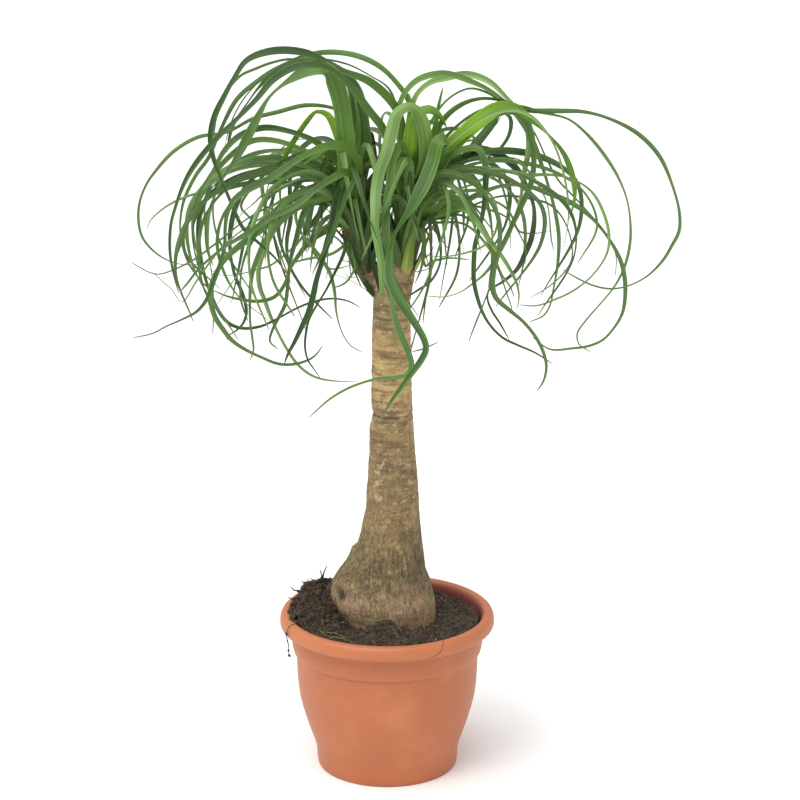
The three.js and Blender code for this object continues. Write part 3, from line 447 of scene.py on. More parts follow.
class NodeBench:
    """Node tree of one finish, with short ways to add and join nodes.

    Heights are in metres and grains in features per metre. The veins and bands of a leaf follow its
    own sheet, which is one unit wide and has one unit for each 100 mm of length.
    """

    def __init__(self, name: str) -> None:
        """Start a material with its shader.

        Args:
            name: Name of the material.
        """
        self.material = bpy.data.materials.new(name)
        self.material.use_nodes = True
        self.nodes = self.material.node_tree.nodes
        self.links = self.material.node_tree.links
        self.shader = self.nodes["Principled BSDF"]

    def place(self, kind: str = "Object") -> Socket:
        """Give coordinates of one kind."""
        return self.nodes.new("ShaderNodeTexCoord").outputs[kind]

    def mark(self) -> list[Socket]:
        """Give the three marks that the mesh carries.

        Returns:
            Sockets of the first, second and third mark.
        """
        reader = self.nodes.new("ShaderNodeAttribute")
        reader.attribute_name = "Marks"
        parts = self.nodes.new("ShaderNodeSeparateColor")
        self.links.new(reader.outputs["Color"], parts.inputs["Color"])
        return [parts.outputs["Red"], parts.outputs["Green"], parts.outputs["Blue"]]

    def axis(self, place: Socket, name: str) -> Socket:
        """Give the coordinate along one axis.

        Args:
            place: Coordinates.
            name: Letter of the axis.

        Returns:
            Socket with the coordinate.
        """
        parts = self.nodes.new("ShaderNodeSeparateXYZ")
        self.links.new(place, parts.inputs[0])
        return parts.outputs[name]

    def grain(self, place: Socket, scale: float, detail: float = 4.0) -> Socket:
        """Add noise over coordinates.

        Args:
            place: Coordinates.
            scale: Features per unit of the coordinates.
            detail: Number of finer layers.

        Returns:
            Socket with values from 0 to 1.
        """
        node = self.nodes.new("ShaderNodeTexNoise")
        node.inputs["Scale"].default_value = scale
        node.inputs["Detail"].default_value = detail
        self.links.new(place, node.inputs["Vector"])
        return node.outputs["Fac"]

    def drawn(self, place: Socket, scales: Colour, detail: float, scale: float = 1.0) -> Socket:
        """Add noise that is drawn out along some axes.

        Args:
            place: Coordinates.
            scales: Features per unit along each axis.
            detail: Number of finer layers.
            scale: Amount that multiplies all three.

        Returns:
            Socket with values from 0 to 1.
        """
        node = self.nodes.new("ShaderNodeMapping")
        node.inputs["Scale"].default_value = scales
        self.links.new(place, node.inputs["Vector"])
        return self.grain(node.outputs["Vector"], scale, detail)

    def ramp(self, amount: Socket, stops: Sequence[tuple[float, Colour]]) -> Socket:
        """Turn an amount into a colour.

        Args:
            amount: Socket with the amount.
            stops: Amounts and the colours there.

        Returns:
            Socket with the colour.
        """
        node = self.nodes.new("ShaderNodeValToRGB")
        elements = node.color_ramp.elements
        while len(elements) < len(stops):
            elements.new(0.5)
        for element, (position, colour) in zip(elements, stops, strict=True):
            element.position = position
            element.color = (*colour, 1.0)
        self.links.new(amount, node.inputs["Fac"])
        return node.outputs["Color"]

    def level(self, amount: Socket, start: Pair, end: Pair = (0.0, 1.0)) -> Socket:
        """Spread a range of an amount over another range, and hold it at the ends.

        Args:
            amount: Socket with the amount.
            start: Range that is read.
            end: Range that is given.

        Returns:
            Socket with the new amount.
        """
        node = self.nodes.new("ShaderNodeMapRange")
        node.inputs["From Min"].default_value = start[0]
        node.inputs["From Max"].default_value = start[1]
        node.inputs["To Min"].default_value = end[0]
        node.inputs["To Max"].default_value = end[1]
        self.links.new(amount, node.inputs["Value"])
        return node.outputs["Result"]

    def mix(self, amount: Socket, first: Socket, second: Colour) -> Socket:
        """Mix a colour into another.

        Args:
            amount: Share of the second one.
            first: Socket of the first colour.
            second: Second colour.

        Returns:
            Socket with the mixed colour.
        """
        node = self.nodes.new("ShaderNodeMix")
        node.data_type = "RGBA"
        self.links.new(amount, node.inputs[0])
        self.links.new(first, node.inputs[6])
        node.inputs[7].default_value = (*second, 1.0)
        return node.outputs[2]

    def sum(self, first: Socket, second: Socket | float, way: Sum = Sum.TIMES) -> Socket:
        """Join two amounts.

        Args:
            first: First amount.
            second: Second amount or a plain number.
            way: Kind of sum.

        Returns:
            Socket with the result.
        """
        node = self.nodes.new("ShaderNodeMath")
        node.operation = way.value
        self.links.new(first, node.inputs[0])
        if isinstance(second, float):
            node.inputs[1].default_value = second
        else:
            self.links.new(second, node.inputs[1])
        return node.outputs[0]

    def veil(
        self, under: Socket, tint: Colour, grain: Socket, shown: Pair, share: Pair, *where: Socket
    ) -> Socket:
        """Lay a colour over another where an amount is in a range.

        Args:
            under: Socket of the colour below.
            tint: Colour that is laid over it.
            grain: Socket with the amount.
            shown: Range of the amount over which the colour comes in.
            share: How much of it shows at both ends of that range.
            where: Amounts that hold it back.

        Returns:
            Socket with the new colour.
        """
        amount = self.level(grain, shown, share)
        for held in where:
            amount = self.sum(amount, held)
        return self.mix(amount, under, tint)

    def relief(self, height: Socket, distance: float, strength: float) -> None:
        """Raise the surface by an amount.

        Args:
            height: Socket with the amount.
            distance: Height of the relief in metres.
            strength: Share of it that shows.
        """
        node = self.nodes.new("ShaderNodeBump")
        node.inputs["Distance"].default_value = distance
        node.inputs["Strength"].default_value = strength
        self.links.new(height, node.inputs["Height"])
        self.links.new(node.outputs["Normal"], self.shader.inputs["Normal"])

    def finish(self, colour: Socket, roughness: Socket | float) -> bpy.types.Material:
        """Join colour and roughness to the shader.

        Args:
            colour: Socket with the colour.
            roughness: Roughness or its socket.

        Returns:
            The finished material.
        """
        self.links.new(colour, self.shader.inputs["Base Color"])
        if isinstance(roughness, float):
            self.shader.inputs["Roughness"].default_value = roughness
        else:
            self.links.new(roughness, self.shader.inputs["Roughness"])
        return self.material


@dataclass(frozen=True)
class TerracottaPlastic:
    """Satin orange plastic with a faint mottle, pale rubbed spots and small dark specks."""

    deep: Colour = (0.415, 0.120, 0.040)
    plain: Colour = (0.455, 0.134, 0.045)
    pale: Colour = (0.545, 0.190, 0.078)
    speck: Colour = (0.16, 0.07, 0.04)
    # Inner wall colour, darker than the outside: painted shade inside the pot.
    wall: Colour = (0.235, 0.060, 0.042)
    roughness: Pair = (0.42, 0.56)

    def material(self) -> bpy.types.Material:
        """Make the material.

        Returns:
            The material with its node tree.
        """
        bench = NodeBench("terracotta_plastic")
        place = bench.place()
        mottle = bench.grain(place, 16.0, 6.0)
        rubbed = bench.drawn(place, (1.0, 1.0, 0.35), 2.0, 190.0)
        inside, lip, _ = bench.mark()
        colour = bench.ramp(mottle, ((0.30, self.deep), (0.52, self.plain), (0.80, self.pale)))
        colour = bench.veil(colour, self.pale, rubbed, (0.66, 0.72), (0.0, 0.14))
        colour = bench.veil(colour, self.speck, bench.grain(place, 420.0, 1.0), (0.76, 0.79), (0.0, 0.85))
        # Painted highlight: the rolled lip is made paler from the top of the collar upward.
        colour = bench.veil(colour, self.pale, lip, (0.5, 1.0), (0.0, 0.25))
        # Painted shade: the inner wall and the inner curl of the lip take the darker wall colour.
        colour = bench.mix(inside, colour, self.wall)
        bench.relief(bench.grain(place, 900.0, 2.0), 0.0003, 0.25)
        return bench.finish(colour, bench.level(mottle, (0.3, 0.7), self.roughness))


@dataclass(frozen=True)
class PottingSoil:
    """Damp, nearly black compost with brown fibres and a trace of green."""

    wet: Colour = (0.010, 0.007, 0.005)
    plain: Colour = (0.036, 0.023, 0.014)
    dry: Colour = (0.11, 0.072, 0.042)
    moss: Colour = (0.035, 0.050, 0.012)
    straw: Colour = (0.12, 0.075, 0.04)

    def material(self) -> bpy.types.Material:
        """Make the material.

        Returns:
            The material with its node tree.
        """
        bench = NodeBench("potting_soil")
        place = bench.place()
        crumbs = bench.grain(place, 330.0, 6.0)
        colour = bench.ramp(crumbs, ((0.36, self.wet), (0.52, self.plain), (0.70, self.dry)))
        colour = bench.veil(colour, self.moss, bench.grain(place, 60.0, 5.0), (0.60, 0.70), (0.0, 0.5))
        colour = bench.mix(bench.mark()[0], colour, self.straw)
        bench.relief(crumbs, 0.002, 0.9)
        return bench.finish(colour, 0.92)


@dataclass(frozen=True)
class PalmBark:
    """Corky bark: olive brown and fissured below, tan with ring lines above."""

    # Lighter foot colour: painted light that lifts the shade near the soil.
    foot: Colour = (0.466, 0.328, 0.184)
    low: Colour = (0.158, 0.108, 0.055)
    middle: Colour = (0.272, 0.182, 0.077)
    high: Colour = (0.530, 0.355, 0.150)
    neck: Colour = (0.330, 0.205, 0.115)
    moss: Colour = (0.140, 0.125, 0.050)
    moss_dark: Colour = (0.078, 0.080, 0.028)
    groove: Colour = (0.060, 0.038, 0.020)
    # Near-black painted shade in the hollow of the scar.
    hollow_shade: Colour = (0.020, 0.022, 0.012)
    cork: Colour = (0.430, 0.310, 0.145)
    fleck: Colour = (0.600, 0.470, 0.290)
    blush: Colour = (0.380, 0.235, 0.155)
    heights: Pair = (0.17, 0.58)

    def material(self) -> bpy.types.Material:
        """Make the material.

        Returns:
            The material with its node tree.
        """
        bench = NodeBench("palm_bark")
        place = bench.place()
        height = bench.axis(place, "Z")
        # The lighter foot band at the bottom is painted light against the shade near the soil.
        stops = (
            (0.0, self.foot), (0.065, self.foot), (0.11, self.low), (0.17, self.low), (0.30, self.middle),
            (0.50, self.middle), (0.68, self.high), (0.86, self.high), (0.94, self.neck),
        )
        colour = bench.ramp(bench.level(height, self.heights), stops)
        colour = self.weathered(bench, place, height, colour)
        colour = self.streaked(bench, place, height, colour)
        rings = bench.drawn(place, (20.0, 20.0, 170.0), 7.0)
        colour = self.ringed(bench, place, height, rings, colour)
        grit = bench.grain(place, 700.0, 5.0)
        colour = bench.veil(colour, self.groove, grit, (0.50, 0.68), (0.0, 0.40))
        colour = bench.veil(colour, self.cork, grit, (0.46, 0.34), (0.0, 0.25))
        carved, ring_line, hollow = bench.mark()
        colour = bench.veil(colour, self.groove, ring_line, (0.15, 1.0), (0.0, 0.72))
        # Painted shade: the bark darkens where the carved relief sinks into grooves.
        colour = bench.veil(colour, self.groove, carved, (0.02, 0.36), (0.9, 0.0))
        # Painted shade: the hollow of the scar is darkened to near black.
        colour = bench.veil(colour, self.hollow_shade, hollow, (0.25, 0.80), (0.0, 0.92))
        rough = bench.sum(bench.grain(place, 120.0, 6.0), rings, Sum.PLUS)
        bench.relief(bench.sum(rough, grit, Sum.PLUS), 0.0012, 0.7)
        return bench.finish(colour, 0.86)

    def weathered(self, bench: NodeBench, place: Socket, height: Socket, colour: Socket) -> Socket:
        """Lay moss, cork, a pink blush, damp patches and dark patches at the top over the bark.

        Args:
            bench: Node tree.
            place: Coordinates.
            height: Height above the ground.
            colour: Colour so far.

        Returns:
            Socket with the new colour.
        """
        patches = bench.grain(place, 30.0, 8.0)
        colour = bench.veil(colour, self.moss, patches, (0.48, 0.62), (0.0, 0.65))
        cloud = bench.drawn(place, (1.0, 1.0, 0.6), 6.0, 70.0)
        colour = bench.veil(colour, self.cork, cloud, (0.50, 0.66), (0.0, 0.40))
        foot = bench.level(height, (0.240, 0.195))
        flush = bench.grain(place, 36.0, 6.0)
        colour = bench.veil(colour, self.blush, flush, (0.42, 0.60), (0.0, 0.6), foot)
        mottle = bench.grain(place, 95.0, 8.0)
        colour = bench.veil(colour, self.groove, mottle, (0.52, 0.66), (0.0, 0.42))
        colour = bench.veil(colour, self.cork, mottle, (0.46, 0.34), (0.0, 0.42))
        waist = bench.sum(bench.level(height, (0.215, 0.240)), bench.level(height, (0.290, 0.260)))
        damp = bench.grain(place, 42.0, 6.0)
        colour = bench.veil(colour, self.moss_dark, damp, (0.44, 0.58), (0.0, 0.70), waist)
        # Darker patches at the top of the trunk, under the heads.
        top = bench.level(height, (0.535, 0.560))
        top_patches = bench.grain(place, 110.0, 6.0)
        return bench.veil(colour, self.groove, top_patches, (0.47, 0.60), (0.0, 0.65), top)

    def streaked(self, bench: NodeBench, place: Socket, height: Socket, colour: Socket) -> Socket:
        """Draw upright streaks, cracks and fissures on the lower trunk.

        Args:
            bench: Node tree.
            place: Coordinates.
            height: Height above the ground.
            colour: Colour so far.

        Returns:
            Socket with the new colour.
        """
        below = bench.level(height, (0.44, 0.24))
        uneven = bench.level(bench.grain(place, 28.0, 4.0), (0.40, 0.56), (0.35, 1.0))
        calm_foot = bench.level(height, (0.188, 0.232), (0.50, 1.0))
        streaky = bench.sum(bench.sum(below, uneven), calm_foot)
        streaks = bench.drawn(place, (500.0, 500.0, 60.0), 9.0)
        colour = bench.veil(colour, self.groove, streaks, (0.49, 0.64), (0.0, 0.72), streaky)
        colour = bench.veil(colour, self.cork, streaks, (0.48, 0.36), (0.0, 0.58), streaky)
        cracks = bench.sum(bench.drawn(place, (150.0, 150.0, 42.0), 7.0), -0.5, Sum.PLUS)
        cracks = bench.sum(cracks, 0.0, Sum.SIZE)
        colour = bench.veil(colour, self.groove, cracks, (0.0, 0.028), (0.62, 0.0), below)
        fissures = bench.drawn(place, (200.0, 200.0, 120.0), 8.0)
        return bench.veil(colour, self.groove, fissures, (0.55, 0.68), (0.0, 0.55), below)

    def ringed(
        self, bench: NodeBench, place: Socket, height: Socket, rings: Socket, colour: Socket
    ) -> Socket:
        """Draw level rings, pale scabs and flakes on the upper trunk.

        Args:
            bench: Node tree.
            place: Coordinates.
            height: Height above the ground.
            rings: Noise of the rings.
            colour: Colour so far.

        Returns:
            Socket with the new colour.
        """
        above = bench.level(height, (0.24, 0.40))
        colour = bench.veil(colour, self.groove, rings, (0.50, 0.64), (0.0, 0.62), above)
        scabs = bench.drawn(place, (75.0, 75.0, 115.0), 5.0)
        waist = bench.sum(bench.level(height, (0.26, 0.31)), bench.level(height, (0.44, 0.40)))
        colour = bench.veil(colour, self.fleck, scabs, (0.60, 0.67), (0.0, 0.55), waist)
        flakes = bench.drawn(place, (150.0, 150.0, 240.0), 3.0)
        return bench.veil(colour, self.fleck, flakes, (0.60, 0.68), (0.0, 0.60), above)


@dataclass(frozen=True)
class StrapLeaf:
    """Satin strap leaf: pale base, fine lengthwise veins, dry tip, each leaf a tone of its own."""

    name: str
    base: Colour
    dark: Colour
    middle: Colour
    light: Colour
    tip: Colour
    roughness: float
    gloss: float
    base_reach: Pair = (0.02, 0.20)
    far: Colour = (0.045, 0.120, 0.020)
    fade: Pair = (1.0, 1.1)

    def material(self) -> bpy.types.Material:
        """Make the material.

        Returns:
            The material with its node tree.
        """
        bench = NodeBench(self.name)
        tone, share, side = bench.mark()
        place = bench.place("UV")
        veins = bench.level(bench.drawn(place, (13.0, 0.35, 1.0), 3.0), (0.34, 0.66))
        bands = bench.level(bench.drawn(place, (5.0, 0.40, 1.0), 2.0), (0.34, 0.66))
        blotch = bench.grain(bench.place(), 30.0, 3.0)
        amount = bench.sum(tone, 0.85)
        for part, weight in ((veins, 0.36), (bands, 0.32), (blotch, 0.30)):
            amount = bench.sum(amount, bench.sum(part, weight), Sum.PLUS)
        stops = ((0.0, self.dark), (0.5, self.middle), (1.0, self.light))
        colour = bench.ramp(bench.level(amount, (0.38, 1.36)), stops)
        colour = bench.veil(colour, self.far, share, self.fade, (0.0, 0.85))
        # Painted shade: one half of each leaf, beside the midrib, is darkened as the shaded side of its
        # folded channel; the tone picks which half.
        off_middle = bench.sum(bench.axis(place, "X"), -0.5, Sum.PLUS)
        lean = bench.sum(off_middle, bench.sum(tone, -0.5, Sum.PLUS))
        colour = bench.veil(colour, self.dark, lean, (-0.03, 0.03), (0.0, 0.38))
        # Darker along the midrib, and a painted highlight along both edges.
        reach = bench.sum(off_middle, 0.0, Sum.SIZE)
        colour = bench.veil(colour, self.dark, reach, (0.00, 0.07), (0.30, 0.0))
        colour = bench.veil(colour, self.light, reach, (0.40, 0.50), (0.0, 0.40))
        colour = bench.veil(colour, self.light, side, (0.0, 0.5), (0.22, 0.0))
        colour = bench.veil(colour, self.base, share, self.base_reach, (0.8, 0.0))
        colour = bench.veil(colour, self.tip, share, (0.955, 1.0), (0.0, 0.85))
        bench.relief(bench.sum(veins, bands, Sum.PLUS), 0.0004, 0.5)
        bench.shader.inputs["Specular IOR Level"].default_value = self.gloss
        return bench.finish(colour, self.roughness)


@dataclass(frozen=True)
class DryFibre:
    """Dry plant matter in one colour with a lengthwise grain."""

    name: str
    dark: Colour
    light: Colour

    def material(self) -> bpy.types.Material:
        """Make the material.

        Returns:
            The material with its node tree.
        """
        bench = NodeBench(self.name)
        grain = bench.grain(bench.place(), 240.0, 5.0)
        tone = bench.sum(bench.mark()[0], bench.sum(grain, 0.6))
        colour = bench.ramp(tone, ((0.05, self.dark), (0.45, self.light)))
        bench.relief(grain, 0.0006, 0.8)
        return bench.finish(colour, 0.85)


GROWN_LEAF = StrapLeaf(
    "grown_leaf", (0.120, 0.245, 0.020), (0.015, 0.039, 0.010), (0.079, 0.177, 0.031),
    (0.245, 0.388, 0.118), (0.24, 0.18, 0.08), 0.46, 0.32, (0.05, 0.32),
)
YOUNG_LEAF = StrapLeaf(
    "young_leaf", (0.34, 0.50, 0.070), (0.060, 0.170, 0.012), (0.170, 0.380, 0.016), (0.32, 0.58, 0.035),
    (0.30, 0.36, 0.08), 0.44, 0.28, (0.02, 0.24), (0.048, 0.130, 0.020), (0.38, 0.62),
)
FRESH_SHEATH = StrapLeaf(
    "fresh_sheath", (0.40, 0.24, 0.06), (0.028, 0.080, 0.012), (0.085, 0.190, 0.020), (0.36, 0.42, 0.060),
    (0.10, 0.20, 0.03), 0.50, 0.30, (0.03, 0.22), (0.032, 0.085, 0.016), (0.30, 0.66),
)
LEAF_BASE = StrapLeaf(
    "leaf_base", (0.100, 0.065, 0.025), (0.008, 0.020, 0.006), (0.028, 0.070, 0.013), (0.10, 0.18, 0.030),
    (0.030, 0.075, 0.014), 0.55, 0.30,
)
DEAD_FIBRE = DryFibre("dead_fibre", (0.035, 0.022, 0.012), (0.20, 0.13, 0.06))
STRAW = DryFibre("straw", (0.16, 0.10, 0.05), (0.52, 0.38, 0.20))
TWIG = DryFibre("dark_twig", (0.012, 0.008, 0.005), (0.09, 0.055, 0.03))
PERLITE = DryFibre("perlite", (0.42, 0.40, 0.36), (0.80, 0.78, 0.74))
MOSS = DryFibre("moss", (0.030, 0.050, 0.008), (0.12, 0.18, 0.03))


# Pot


@dataclass
class Pot:
    """Flared plastic pot with a collar step, a rolled lip and drain holes, in mm."""

    floor: float = 4.0
    sides: int = 160
    drain_holes: int = 6
    drain_radius: float = 5.0
    drain_circle: float = 48.0
    drill_sides: int = 24
    lip_start: float = 160.0
    lip_fade: float = 6.0
    outside: tuple[Pair, ...] = (
        (0, 0), (60, 0), (75, 0), (77.4, 0.4), (78.5, 2), (79.2, 6), (79.6, 14), (80.5, 22), (82.6, 30),
        (85.5, 38), (88.6, 47), (91.8, 57), (95.6, 70), (98.8, 84), (100.6, 100), (101.4, 115), (101.7, 126),
        (101.8, 132.6), (102.2, 133.4), (102.2, 134.6), (101.9, 135.2), (104.2, 135.6), (105, 136.6),
        (106.2, 141), (107, 147), (107.1, 156), (107.2, 162), (107.8, 163.6), (112, 164.4), (117.2, 165),
        (118.8, 166), (119.8, 168), (120, 170), (119.8, 173), (119.2, 176), (118, 178.6), (116, 180.4),
        (113, 181), (110.4, 180.8), (109, 180), (107.8, 178.6), (106.2, 176),
    )
    inside: tuple[Pair, ...] = (
        (105.6, 173), (103.7, 160), (101, 146), (98.3, 130), (97.5, 110), (95.3, 86), (88.3, 58), (82, 39),
        (77, 23), (75.7, 4), (40, 4), (0, 4),
    )

    def turned(self) -> tuple[Body, list[Colour]]:
        """Turn the profile round the axis.

        Returns:
            The body, and the marks of its points for the inner wall and the lip.
        """
        profile = [*self.outside, *self.inside]
        points: list[Vector] = []
        marks: list[Colour] = []
        for index, (radius, height) in enumerate(profile):
            ring = level_ring(radius, height, self.sides if radius else 1)
            # First mark: 1 on the inner wall and the inner curl of the lip, for their painted shade.
            dark = clamp((index - len(self.outside) + 3.0) / 2)
            # Second mark: rises over the rolled lip, for its painted highlight.
            lip = 0.5 + 0.5 * clamp((height - self.lip_start) / self.lip_fade)
            points.extend(ring)
            marks.extend([(dark, lip, PLAIN_MARK)] * len(ring))
        last = len(points) - 1
        top = last - self.sides
        faces: list[Face] = []
        for side in range(self.sides):
            after = (side + 1) % self.sides
            faces.append((0, 1 + after, 1 + side))
            for low in range(1, top, self.sides):
                high = low + self.sides
                faces.append((low + side, low + after, high + after, high + side))
            faces.append((top + side, top + after, last))
        return (points, faces), marks

    def drill(self, material: bpy.types.Material) -> bpy.types.Object:
        """Make the rods that cut the drain holes.

        Args:
            material: Finish of the pot.

        Returns:
            All rods as one object.
        """
        stock = MeshStock()
        for index in range(self.drain_holes):
            angle = math.tau * index / self.drain_holes
            middle = Vector((self.drain_circle * math.cos(angle), self.drain_circle * math.sin(angle), 0.0))
            rings = []
            for height in (-self.floor, 2 * self.floor):
                ring = level_ring(self.drain_radius, height, self.drill_sides)
                rings.append([middle + point for point in ring])
            stock.add(skin(rings))
        return stock.piece("drain_drills", material)

    def build(self) -> None:
        """Make the pot and open its drain holes."""
        stock = MeshStock()
        body, marks = self.turned()
        stock.add(body, marks=marks)
        pot = stock.piece("pot_body", TerracottaPlastic().material(), POT_CREASE)
        drill = self.drill(pot.data.materials[0])
        cut = pot.modifiers.new("drain_holes", "BOOLEAN")
        cut.operation = "DIFFERENCE"
        cut.solver = "EXACT"
        cut.object = drill
        settle(pot)
        bpy.data.objects.remove(drill)
        keep(pot, Slot.POT, "pot")


# Soil


@dataclass(frozen=True)
class Grains:
    """Loose grains of one kind, in mm.

    Radii and tones give the smallest one and the amount that a draw adds to it, the powers bend
    those draws, and the share on the heap places the grains.
    """

    count: int
    radii: Pair
    tones: Pair
    on_heap: float = 0.0
    radius_power: float = 1.0
    tone_power: float = 1.0


@dataclass
class Soil:
    """Soil in the pot with a heap on the left of the trunk, crumbs, perlite, moss and straw."""

    level: float = 173.0
    rim: float = 103.2
    sides: int = 180
    rings: int = 58
    crumbs: Grains = Grains(1700, (0.5, 2.6), (0.0, 0.7), 0.45, 3.0, 2.0)
    spilled: Grains = Grains(300, (0.8, 2.6), (0.0, 0.5), radius_power=1.6)
    perlite: Grains = Grains(30, (0.3, 0.6), (0.1, 0.6), 0.25)
    moss: Grains = Grains(60, (0.5, 1.2), (0.1, 0.5), 0.55)
    straw_count: int = 80
    straw_on_heap: float = 0.4
    bristle_count: int = 220
    spill_bearing: Pair = (177.0, 17.0)
    spill_reach: Pair = (88.0, 110.0)
    lip_top: float = 181.5
    heap_rise: float = 40.0
    heap_middle: Pair = (-66.0, 8.0)
    heap_spread: Pair = (30.0, 34.0)
    heap_scatter: Pair = (16.0, 22.0)
    outer_spread: float = 62.0
    bank_rise: float = 9.0
    bank_slope: float = 3.0
    front_mound: Place = (-2.0, -58.0, 17.0)
    front_spread: Pair = (22.0, 14.0)
    wall: tuple[Pair, ...] = (
        (74.2, 4.3), (76.7, 23), (81.7, 39), (88, 58), (95, 86), (97.8, 130), (103.2, 160),
    )
    field_half: float = 101.0
    trunk_shift: float = 3.0
    trunk_clear: float = 53.0

    def heap(self, x: float, y: float) -> float:
        """Give the share of the heap at a place.

        Args:
            x: Place to the right in mm.
            y: Place away from the viewer in mm.

        Returns:
            A share between 0 and 1, less where the heap slopes down to the wall of the pot.
        """
        spread = self.outer_spread if x < self.heap_middle[0] else self.heap_spread[0]
        pile = bump(x, self.heap_middle[0], spread) * bump(y, self.heap_middle[1], self.heap_spread[1])
        bank = self.bank_rise + self.bank_slope * (self.rim - math.hypot(x, y))
        return min(pile, bank / self.heap_rise)

    def height(self, x: float, y: float) -> float:
        """Give the height of the surface.

        Args:
            x: Place to the right in mm.
            y: Place away from the viewer in mm.

        Returns:
            Height in mm.
        """
        waves = 1.6 * (math.sin(0.21 * x + 0.6) * math.sin(0.27 * y) + 0.7 * math.sin(0.43 * (x - y)))
        back = -3.0 * bump(y, 80, 60)
        point = Vector((x, y, 40.0))
        heap = self.heap(x, y)
        fine = 1.6 * fractal(point, 0.09, 3) + 0.9 * fractal(point, 0.32, 3)
        lift = 5.0 * heap * fractal(point, 0.07, 3)
        edge = clamp((self.rim - math.hypot(x, y)) / 4)
        mound_x, mound_y, mound_rise = self.front_mound
        mound = mound_rise * bump(x, mound_x, self.front_spread[0]) * bump(y, mound_y, self.front_spread[1])
        return self.level + self.heap_rise * heap + waves + back + edge * (fine + lift + mound)

    def surface(self) -> MeshStock:
        """Make the closed body of soil.

        Returns:
            Its points and faces.
        """
        rings = [level_ring(radius, level, self.sides) for radius, level in self.wall]
        for number in range(self.rings):
            ring = level_ring(self.rim * (1 - number / self.rings) ** 0.8 - 0.5, 0.0, self.sides)
            for point in ring:
                point.z = self.height(point.x, point.y)
            rings.append(ring)
        body = skin(rings)
        tones = [0.25 * clamp(fractal(point, 0.05) + 0.1) for point in body[0]]
        stock = MeshStock()
        stock.add(body, marks=[(tone, PLAIN_MARK, PLAIN_MARK) for tone in tones])
        return stock

    def spots(self, count: int, draws: random.Random, on_heap: float) -> list[Vector]:
        """Draw places on the surface outside the trunk.

        Args:
            count: Number of places.
            draws: Seeded draws.
            on_heap: Share of them that lie on the heap.

        Returns:
            Points on the surface in mm.
        """
        places = []
        while len(places) < count:
            if draws.random() < on_heap:
                x = draws.gauss(self.heap_middle[0], self.heap_scatter[0])
                y = draws.gauss(self.heap_middle[1], self.heap_scatter[1])
            else:
                x = draws.uniform(-self.field_half, self.field_half)
                y = draws.uniform(-self.field_half, self.field_half)
            in_pot = math.hypot(x, y) < self.rim - 3
            if in_pot and math.hypot(x + self.trunk_shift, y) > self.trunk_clear:
                places.append(Vector((x, y, self.height(x, y))))
        return places

    def spill(self, draws: random.Random) -> list[Vector]:
        """Draw places on the steep edge of the heap and on the lip beside it.

        Args:
            draws: Seeded draws.

        Returns:
            Points in mm.
        """
        places = []
        for _ in range(self.spilled.count):
            outward = level_way(math.radians(draws.gauss(*self.spill_bearing)))
            reach = within(self.spill_reach, draws.random())
            edge = outward * min(reach, self.rim - 0.8)
            over = clamp((reach - edge.length) / 6)
            spot = outward * reach
            spot.z = within((self.height(edge.x, edge.y), self.lip_top), over)
            places.append(spot)
        return places

    def scatter(
        self, stock: MeshStock, kind: Grains, draws: random.Random, spots: Sequence[Vector] = ()
    ) -> None:
        """Lay grains of one kind on the soil.

        Args:
            stock: Piece that takes them.
            kind: Their count, place and sizes.
            draws: Seeded draws.
            spots: Their places, drawn here where none are given.
        """
        for spot in spots or self.spots(kind.count, draws, kind.on_heap):
            radius = kind.radii[0] + kind.radii[1] * draws.random() ** kind.radius_power
            tone = kind.tones[0] + kind.tones[1] * draws.random() ** kind.tone_power
            lump(stock, spot, radius, draws, tone)

    def build(self) -> None:
        """Make the soil and what lies on it."""
        draws = random.Random(SOIL_SEED)
        keep(self.surface().piece("soil_bed", PottingSoil().material(), CLOD_CREASE), Slot.SOIL, "soil")
        crumbs = MeshStock()
        self.scatter(crumbs, self.crumbs, draws)
        edge_draws = random.Random(SPILL_SEED)
        self.scatter(crumbs, self.spilled, edge_draws, self.spill(edge_draws))
        keep(crumbs.piece("soil_crumbs", PottingSoil().material(), CLOD_CREASE), Slot.SOIL)
        perlite = MeshStock()
        self.scatter(perlite, self.perlite, draws)
        keep(perlite.piece("perlite_grains", PERLITE.material(), GRIT_CREASE), Slot.SOIL)
        moss = MeshStock()
        self.scatter(moss, self.moss, draws)
        keep(moss.piece("moss_tufts", MOSS.material(), CLOD_CREASE), Slot.SOIL)
        straw = MeshStock()
        for spot in self.spots(self.straw_count, draws, self.straw_on_heap):
            self.add_straw(straw, spot, draws)
        keep(straw.piece("straw_fibres", STRAW.material(), STICK_CREASE), Slot.SOIL)
        bristles = MeshStock()
        for spot in self.spots(self.bristle_count, draws, 1.0):
            self.add_bristle(bristles, spot, draws)
        keep(bristles.piece("heap_bristles", TWIG.material(), STICK_CREASE), Slot.SOIL)

    def add_straw(self, straw: MeshStock, spot: Vector, draws: random.Random) -> None:
        """Lay one thin fibre on the surface.

        Args:
            straw: Piece that takes the fibre.
            spot: Middle of the fibre.
            draws: Seeded draws.
        """
        turn = math.tau * draws.random()
        length = 5.0 + 14.0 * draws.random() ** 2
        bend = draws.uniform(-0.6, 0.6)
        inner = self.rim - 2
        points = []
        for step in range(5):
            share = step / 4 - 0.5
            angle = turn + bend * share
            x = spot.x + length * share * math.cos(angle)
            y = spot.y + length * share * math.sin(angle)
            reach = math.hypot(x, y)
            if reach > inner:
                x *= inner / reach
                y *= inner / reach
            points.append(Vector((x, y, self.height(x, y) + 0.4)))
        tube(straw, points, (0.2, 0.35, 0.15), 5, 0.1 + 0.5 * draws.random())

